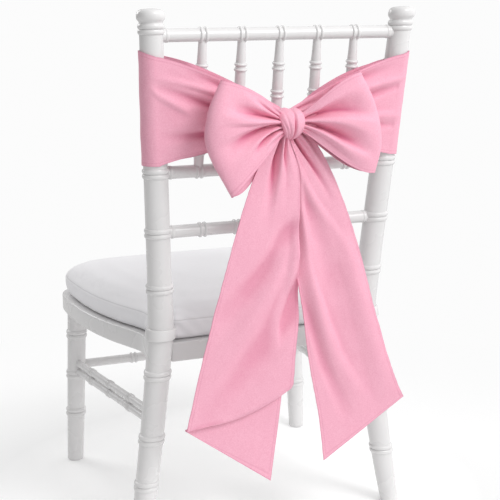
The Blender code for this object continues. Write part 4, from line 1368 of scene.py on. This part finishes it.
paint, tree, shader = new_finish("satin_white_paint", PAINT, 0.28)
place = tree.nodes.new("ShaderNodeTexCoord").outputs["Object"]
broad = noise_node(tree, place, PAINT_CLOUDS, 3.0)
fine = noise_node(tree, place, PAINT_GRAIN)
amount = math_node(tree, "MULTIPLY", broad, PAINT_CLOUD_SHARE, clamp=True)
tree.links.new(colour_mix(tree, amount, PAINT, PAINT_DEEP), shader.inputs["Base Color"])
rougher = math_node(tree, "MULTIPLY", broad, PAINT_ROUGHER)
rough = math_node(tree, "ADD", rougher, PAINT_ROUGH)
tree.links.new(rough, shader.inputs["Roughness"])
tree.links.new(bump_node(tree, fine, 0.05, 0.0006), shader.inputs["Normal"])
shader.inputs["Coat Weight"].default_value = 0.35
shader.inputs["Coat Roughness"].default_value = 0.15
print("paint nodes:", len(tree.nodes))

# %% [markdown]
# ## The pad's cloth
# The cover is a dense white cloth with a sewn seam. Its weave could stand on an unwrapped map, but
# a blown-up pad has no plain strips to unwrap. So the weave stands on object places, as if the pad
# were cut from a block of threads, and the seam is found by its height along the lean of the seat.

# %% White pad cloth, on object places so that the weave needs no map
PAD_WHITE = (0.90, 0.89, 0.91, 1.0)
PAD_SHADE = (0.85, 0.84, 0.86, 1.0)
PAD_SEAM = (0.66, 0.65, 0.66, 1.0)
PAD_SEAM_HALF = 0.0013
PAD_SEAM_SHARE = 0.8         # how strongly the seam is tinted
PAD_THREADS = 1300.0         # per metre
PAD_SLUB = 0.6
PAD_SLUB_SHARE = 0.5
PAD_WEAVE_HEIGHT = 0.4       # of the weave beside the depth of the seam

pad_cloth, tree, shader = new_finish("white_pad_cloth", PAD_WHITE, 0.85)
place = tree.nodes.new("ShaderNodeTexCoord").outputs["Object"]
weave = weave_node(tree, place, PAD_THREADS, PAD_SLUB)
amount = math_node(tree, "MULTIPLY", weave.outputs["Shade"], PAD_SLUB_SHARE, clamp=True)
plain = colour_mix(tree, amount, PAD_WHITE, PAD_SHADE)
level = vector_node(tree, "DOT_PRODUCT", place, (0.0, -SEAT_LEAN / SEAT_RUN, 1.0))
seam_level = PAD_BOTTOM + SEAM_HEIGHT - SEAT_DROP - SEAT_LEAN * (1 + BACK_LINE / SEAT_RUN)
off_seam = math_node(tree, "ABSOLUTE", math_node(tree, "SUBTRACT", level, seam_level))
stitched = near_node(tree, off_seam, PAD_SEAM_HALF)
tinted = math_node(tree, "MULTIPLY", stitched, PAD_SEAM_SHARE)
tree.links.new(colour_mix(tree, tinted, plain, PAD_SEAM), shader.inputs["Base Color"])
woven = math_node(tree, "MULTIPLY", weave.outputs["Height"], PAD_WEAVE_HEIGHT)
height = math_node(tree, "SUBTRACT", woven, stitched)
tree.links.new(bump_node(tree, height, 0.35, 0.0008), shader.inputs["Normal"])
shader.inputs["Sheen Weight"].default_value = 0.15
shader.inputs["Sheen Roughness"].default_value = 0.5
print("pad cloth nodes:", len(tree.nodes))

# %% [markdown]
# ## Pink polyester
# The sash is a matt woven polyester with a narrow rolled hem, sewn in its own colour. The map
# holds true distances, so the finish finds the hem by its distance from the strip's edges, and
# counts stitches along it. Deep folds are painted a darker, richer pink, as painted shade. What the
# cloth sends on to other things turns to near white between 5 and 10 cm away, so that the chair
# beside it stays white.

# %% Its weave, and the drift of its pink
PINK = (0.920, 0.485, 0.600, 1.0)
PINK_SHADE = (0.83, 0.370, 0.490, 1.0)
SASH_THREADS = 2200.0        # per metre
SASH_SLUB = 0.45
SASH_CLOUDS = 30.0           # per metre
SASH_GRAIN = 520.0
SLUB_SHARE = 0.3             # how much slubs, clouds and grain each add to the shade
CLOUD_SHARE = 0.3
GRAIN_SHARE = 1.6
SHADE_FROM = 0.60            # and the sum that still gives none

sash_cloth, tree, shader = new_finish("pink_polyester", PINK, 0.58)
cloth_place = tree.nodes.new("ShaderNodeUVMap")
cloth_place.uv_map = CLOTH_MAP
weave = weave_node(tree, cloth_place.outputs[0], SASH_THREADS, SASH_SLUB)
place = tree.nodes.new("ShaderNodeTexCoord").outputs["Object"]
cloud = noise_node(tree, place, SASH_CLOUDS, 3.0)
grain = noise_node(tree, place, SASH_GRAIN, 1.0)
shade = math_node(tree, "ADD", math_node(tree, "MULTIPLY", weave.outputs["Shade"], SLUB_SHARE),
                  math_node(tree, "MULTIPLY", cloud, CLOUD_SHARE))
shade = math_node(tree, "ADD", shade, math_node(tree, "MULTIPLY", grain, GRAIN_SHARE))
shade = math_node(tree, "SUBTRACT", shade, SHADE_FROM, clamp=True)
plain = colour_mix(tree, shade, PINK, PINK_SHADE)
print("threads per metre:", SASH_THREADS)

# %% Its hems and their stitches
HEM = 0.0065                 # width of the rolled hem
HEM_EDGE = 0.0022            # the very edge of it is darker over this width
HEM_EDGE_SHARE = 0.60
SEAM_IN = 0.0010             # the stitches stand this far inside the hem
SEAM_WIDE = 0.0015
STITCH = 0.0032              # length of a stitch
STITCH_BEAT = 0.3            # a stitch is this much more or less than the seam's middle tone
STITCH_MIDDLE = 0.7
STITCH_SHARE = 0.55

split = tree.nodes.new("ShaderNodeSeparateXYZ")
tree.links.new(cloth_place.outputs[0], split.inputs[0])
to_far_side = math_node(tree, "SUBTRACT", STRIP, split.outputs["X"])
to_side = math_node(tree, "MINIMUM", split.outputs["X"], to_far_side)
to_edge = math_node(tree, "MINIMUM", to_side, split.outputs["Y"])
inside_hem = math_node(tree, "LESS_THAN", to_edge, HEM)
to_seam = math_node(tree, "ABSOLUTE", math_node(tree, "SUBTRACT", to_edge, HEM - SEAM_IN))
seam = near_node(tree, to_seam, SEAM_WIDE)
lengthways = math_node(tree, "ADD", split.outputs["X"], split.outputs["Y"])
beat = math_node(tree, "SINE", math_node(tree, "MULTIPLY", lengthways, 2 * math.pi / STITCH))
tone = math_node(tree, "ADD", math_node(tree, "MULTIPLY", beat, STITCH_BEAT), STITCH_MIDDLE)
stitches = math_node(tree, "MULTIPLY", seam, tone)
edge = math_node(tree, "MULTIPLY", near_node(tree, to_edge, HEM_EDGE), HEM_EDGE_SHARE)
marked = math_node(tree, "MAXIMUM", edge, math_node(tree, "MULTIPLY", stitches, STITCH_SHARE))
print("stitches per metre of hem:", round(1 / STITCH))

# %% Its own colour with painted shade in deep folds, and what it sends on
PINK_HEM = (0.70, 0.25, 0.37, 1.0)
# PINK_FOLD_SHADE is painted shade: a darker, richer pink where the folds are deep
PINK_FOLD_SHADE = (0.60, 0.15, 0.26, 1.0)
FOLD_SHADE_SHARE = 0.85            # how strongly a fully deep fold takes the deep pink
BOUNCE = (0.84, 0.78, 0.79, 1.0)
BOUNCE_NEAR = 0.050          # up to here the cloth sends on its own colour,
BOUNCE_FAR = 0.100           # and from here on this near white

depth = tree.nodes.new("ShaderNodeAttribute")
depth.attribute_name = "fold_depth"
# painted shade: deep folds are mixed towards a darker, richer pink by their depth
fold_shade = math_node(tree, "MULTIPLY", depth.outputs["Fac"], FOLD_SHADE_SHARE)
own = colour_mix(tree, marked, colour_mix(tree, fold_shade, plain, PINK_FOLD_SHADE), PINK_HEM)
rays = tree.nodes.new("ShaderNodeLightPath")
unseen = math_node(tree, "SUBTRACT", 1.0, rays.outputs["Is Camera Ray"])
beyond = math_node(tree, "SUBTRACT", rays.outputs["Ray Length"], BOUNCE_NEAR)
far_away = math_node(tree, "DIVIDE", beyond, BOUNCE_FAR - BOUNCE_NEAR, clamp=True)
bounced = math_node(tree, "MULTIPLY", unseen, far_away)
tree.links.new(colour_mix(tree, bounced, own, BOUNCE), shader.inputs["Base Color"])
print("the cloth sends on its own pink up to, in metres:", BOUNCE_NEAR)

# %% Its surface
HEM_HEIGHT = 2.0             # heights for the bump
STITCH_HEIGHT = -1.2
WEAVE_HEIGHT = 0.5

raised = math_node(tree, "ADD", math_node(tree, "MULTIPLY", inside_hem, HEM_HEIGHT),
                   math_node(tree, "MULTIPLY", stitches, STITCH_HEIGHT))
woven = math_node(tree, "MULTIPLY", weave.outputs["Height"], WEAVE_HEIGHT)
height = math_node(tree, "ADD", raised, woven)
tree.links.new(bump_node(tree, height, 0.30, 0.0004), shader.inputs["Normal"])
shader.inputs["Sheen Weight"].default_value = 0.05
shader.inputs["Specular IOR Level"].default_value = 0.22
shader.inputs["Sheen Roughness"].default_value = 0.45
shader.inputs["Sheen Tint"].default_value = (1.0, 0.80, 0.88, 1.0)
print("sash cloth nodes:", len(tree.nodes))

# %% Put each finish on its pieces
FINISHES = {"chair_paint": paint, "pad_cloth": pad_cloth, "sash_cloth": sash_cloth}
for slot, pieces in SLOT_PIECES.items():
    for piece in pieces:
        piece.data.materials.clear()
        piece.data.materials.append(FINISHES[slot])
print("pieces by finish:", {slot: len(pieces) for slot, pieces in SLOT_PIECES.items()})

# %% [markdown]
# ## The studio
# The chair stands in a white room with light from all round. A large floor disc catches soft
# shadows and fades into a white bowl, which only shows to the camera, so that it doesn't flatten
# the folds. A broad lamp high on the camera's right gives the shape. A softer one stands beyond
# the chair, on its front left, and lights the seat. The room is brighter on the camera's right.

# %% The floor
FLOOR_RADIUS = 4.0
STUDIO_WHITE = 0.972         # brightness of the bowl and of the far floor
FLOOR_WHITE = 0.92
FADE_START = 0.25            # the floor fades into the bowl between these distances
FADE_END = 1.20
FLOOR_GLOW = 0.15            # brightness that even the shaded floor keeps
GLOW_SHARE = 0.70            # how much of the far floor's brightness lights the chair

start_clean()
bpy.ops.mesh.primitive_circle_add(vertices=96, radius=FLOOR_RADIUS, fill_type="NGON",
                                  location=(0, 0, 0))
floor = bpy.context.object
floor.name = "studio_floor"
floor_colour = (FLOOR_WHITE, FLOOR_WHITE, FLOOR_WHITE, 1.0)
floor_finish, tree, shader = new_finish("studio_floor", floor_colour, 0.9)
place = tree.nodes.new("ShaderNodeTexCoord").outputs["Object"]
fade = tree.nodes.new("ShaderNodeMapRange")
fade.interpolation_type = "SMOOTHSTEP"
fade.inputs["From Min"].default_value = FADE_START
fade.inputs["From Max"].default_value = FADE_END
tree.links.new(vector_node(tree, "LENGTH", place), fade.inputs["Value"])
near = math_node(tree, "SUBTRACT", 1.0, fade.outputs["Result"])
grey = math_node(tree, "MULTIPLY", near, FLOOR_WHITE)
tree.links.new(grey, shader.inputs["Base Color"])
camera_ray = tree.nodes.new("ShaderNodeLightPath").outputs["Is Camera Ray"]
share_seen = math_node(tree, "MULTIPLY", camera_ray, 1 - GLOW_SHARE)
share_seen = math_node(tree, "ADD", share_seen, GLOW_SHARE)
glow = math_node(tree, "MAXIMUM", fade.outputs["Result"], FLOOR_GLOW)
seen = math_node(tree, "MULTIPLY", glow, share_seen)
tree.links.new(seen, shader.inputs["Emission Color"])
shader.inputs["Emission Strength"].default_value = STUDIO_WHITE
shader.inputs["Specular IOR Level"].default_value = 0.0
floor.data.materials.append(floor_finish)
print("floor radius in metres:", FLOOR_RADIUS)

# %% The bowl
BOWL_RADIUS = 3.95
WHITE = (1.0, 1.0, 1.0, 1.0)

start_clean()
bpy.ops.mesh.primitive_uv_sphere_add(segments=64, ring_count=32, radius=BOWL_RADIUS,
                                     location=(0, 0, 0))
bowl = bpy.context.object
bowl.name = "studio_bowl"
bowl_finish, tree, shader = new_finish("studio_bowl", (0.0, 0.0, 0.0, 1.0), 1.0)
shader.inputs["Specular IOR Level"].default_value = 0.0
shader.inputs["Emission Color"].default_value = WHITE
shader.inputs["Emission Strength"].default_value = STUDIO_WHITE
bowl.data.materials.append(bowl_finish)
bowl.visible_diffuse = False
bowl.visible_glossy = False
bowl.visible_transmission = False
bowl.visible_shadow = False
print("bowl radius in metres:", BOWL_RADIUS)

# %% Light from all round, brighter on the camera's right
FILL = 0.71                  # brightness of the room
FILL_SIDE = 0.52             # how much it gains towards the bright side
FILL_RISE = 0.12             # and towards the ceiling
BRIGHT_SIDE = (0.927, -0.376)        # x and y of the bright side's direction

world = bpy.data.worlds.new("soft_fill")
world.use_nodes = True
tree = world.node_tree
direction = tree.nodes.new("ShaderNodeTexCoord").outputs["Generated"]
gains = [FILL_SIDE * v for v in BRIGHT_SIDE] + [FILL_RISE]
gained = vector_node(tree, "DOT_PRODUCT", direction, gains)
strength = math_node(tree, "ADD", gained, FILL)
tree.links.new(strength, tree.nodes["Background"].inputs["Strength"])
tree.nodes["Background"].inputs["Color"].default_value = WHITE
bpy.context.scene.world = world
print("the room's dark and bright side:", round(FILL - FILL_SIDE, 2), round(FILL + FILL_SIDE, 2))


# %% Two broad lamps
def lamp(name, place, aim, size, watts):
    """A round lamp of a size in metres, aimed at a place."""
    light = bpy.data.lights.new(name, "AREA")
    light.shape = "DISK"
    light.size = size
    light.energy = watts
    holder = bpy.data.objects.new(name, light)
    bpy.context.collection.objects.link(holder)
    holder.location = place
    holder.rotation_euler = (Vector(aim) - Vector(place)).to_track_quat("-Z", "Y").to_euler()
    print(name, "watts:", watts)


lamp("key_lamp", place=(1.0, -2.25, 2.5), aim=(0.0, -0.15, 0.55), size=1.3, watts=36.0)
lamp("back_lamp", place=(-1.1, 2.1, 1.8), aim=(0.0, 0.1, 0.35), size=1.6, watts=18.0)

# %% [markdown]
# ## The camera
# The camera stands behind the chair, a little to its left and above the seat, and looks slightly
# down at the bow.

# %% Camera
CAMERA_LENS = 87.12          # in millimetres, for a frame 36 wide
CAMERA_TURN = -22.093        # in degrees: to the right,
CAMERA_TILT = 12.023         # down from level,
CAMERA_ROLL = -0.269         # and about its own line of sight
CAMERA_STAND = Vector((-0.8042, BACK_LINE - 1.9103, 0.9440))

camera = bpy.data.cameras.new("camera")
camera.lens = CAMERA_LENS
camera.sensor_width = 36.0
viewpoint = bpy.data.objects.new("camera", camera)
bpy.context.collection.objects.link(viewpoint)
turn_z = Matrix.Rotation(math.radians(CAMERA_TURN), 4, "Z")
tilt_x = Matrix.Rotation(math.radians(90.0 - CAMERA_TILT), 4, "X")
roll_z = Matrix.Rotation(math.radians(CAMERA_ROLL), 4, "Z")
viewpoint.matrix_world = Matrix.Translation(CAMERA_STAND) @ turn_z @ tilt_x @ roll_z
bpy.context.scene.camera = viewpoint
bpy.context.scene.view_settings.view_transform = "Standard"
print("the camera stands at, in metres:", [round(v, 3) for v in CAMERA_STAND])
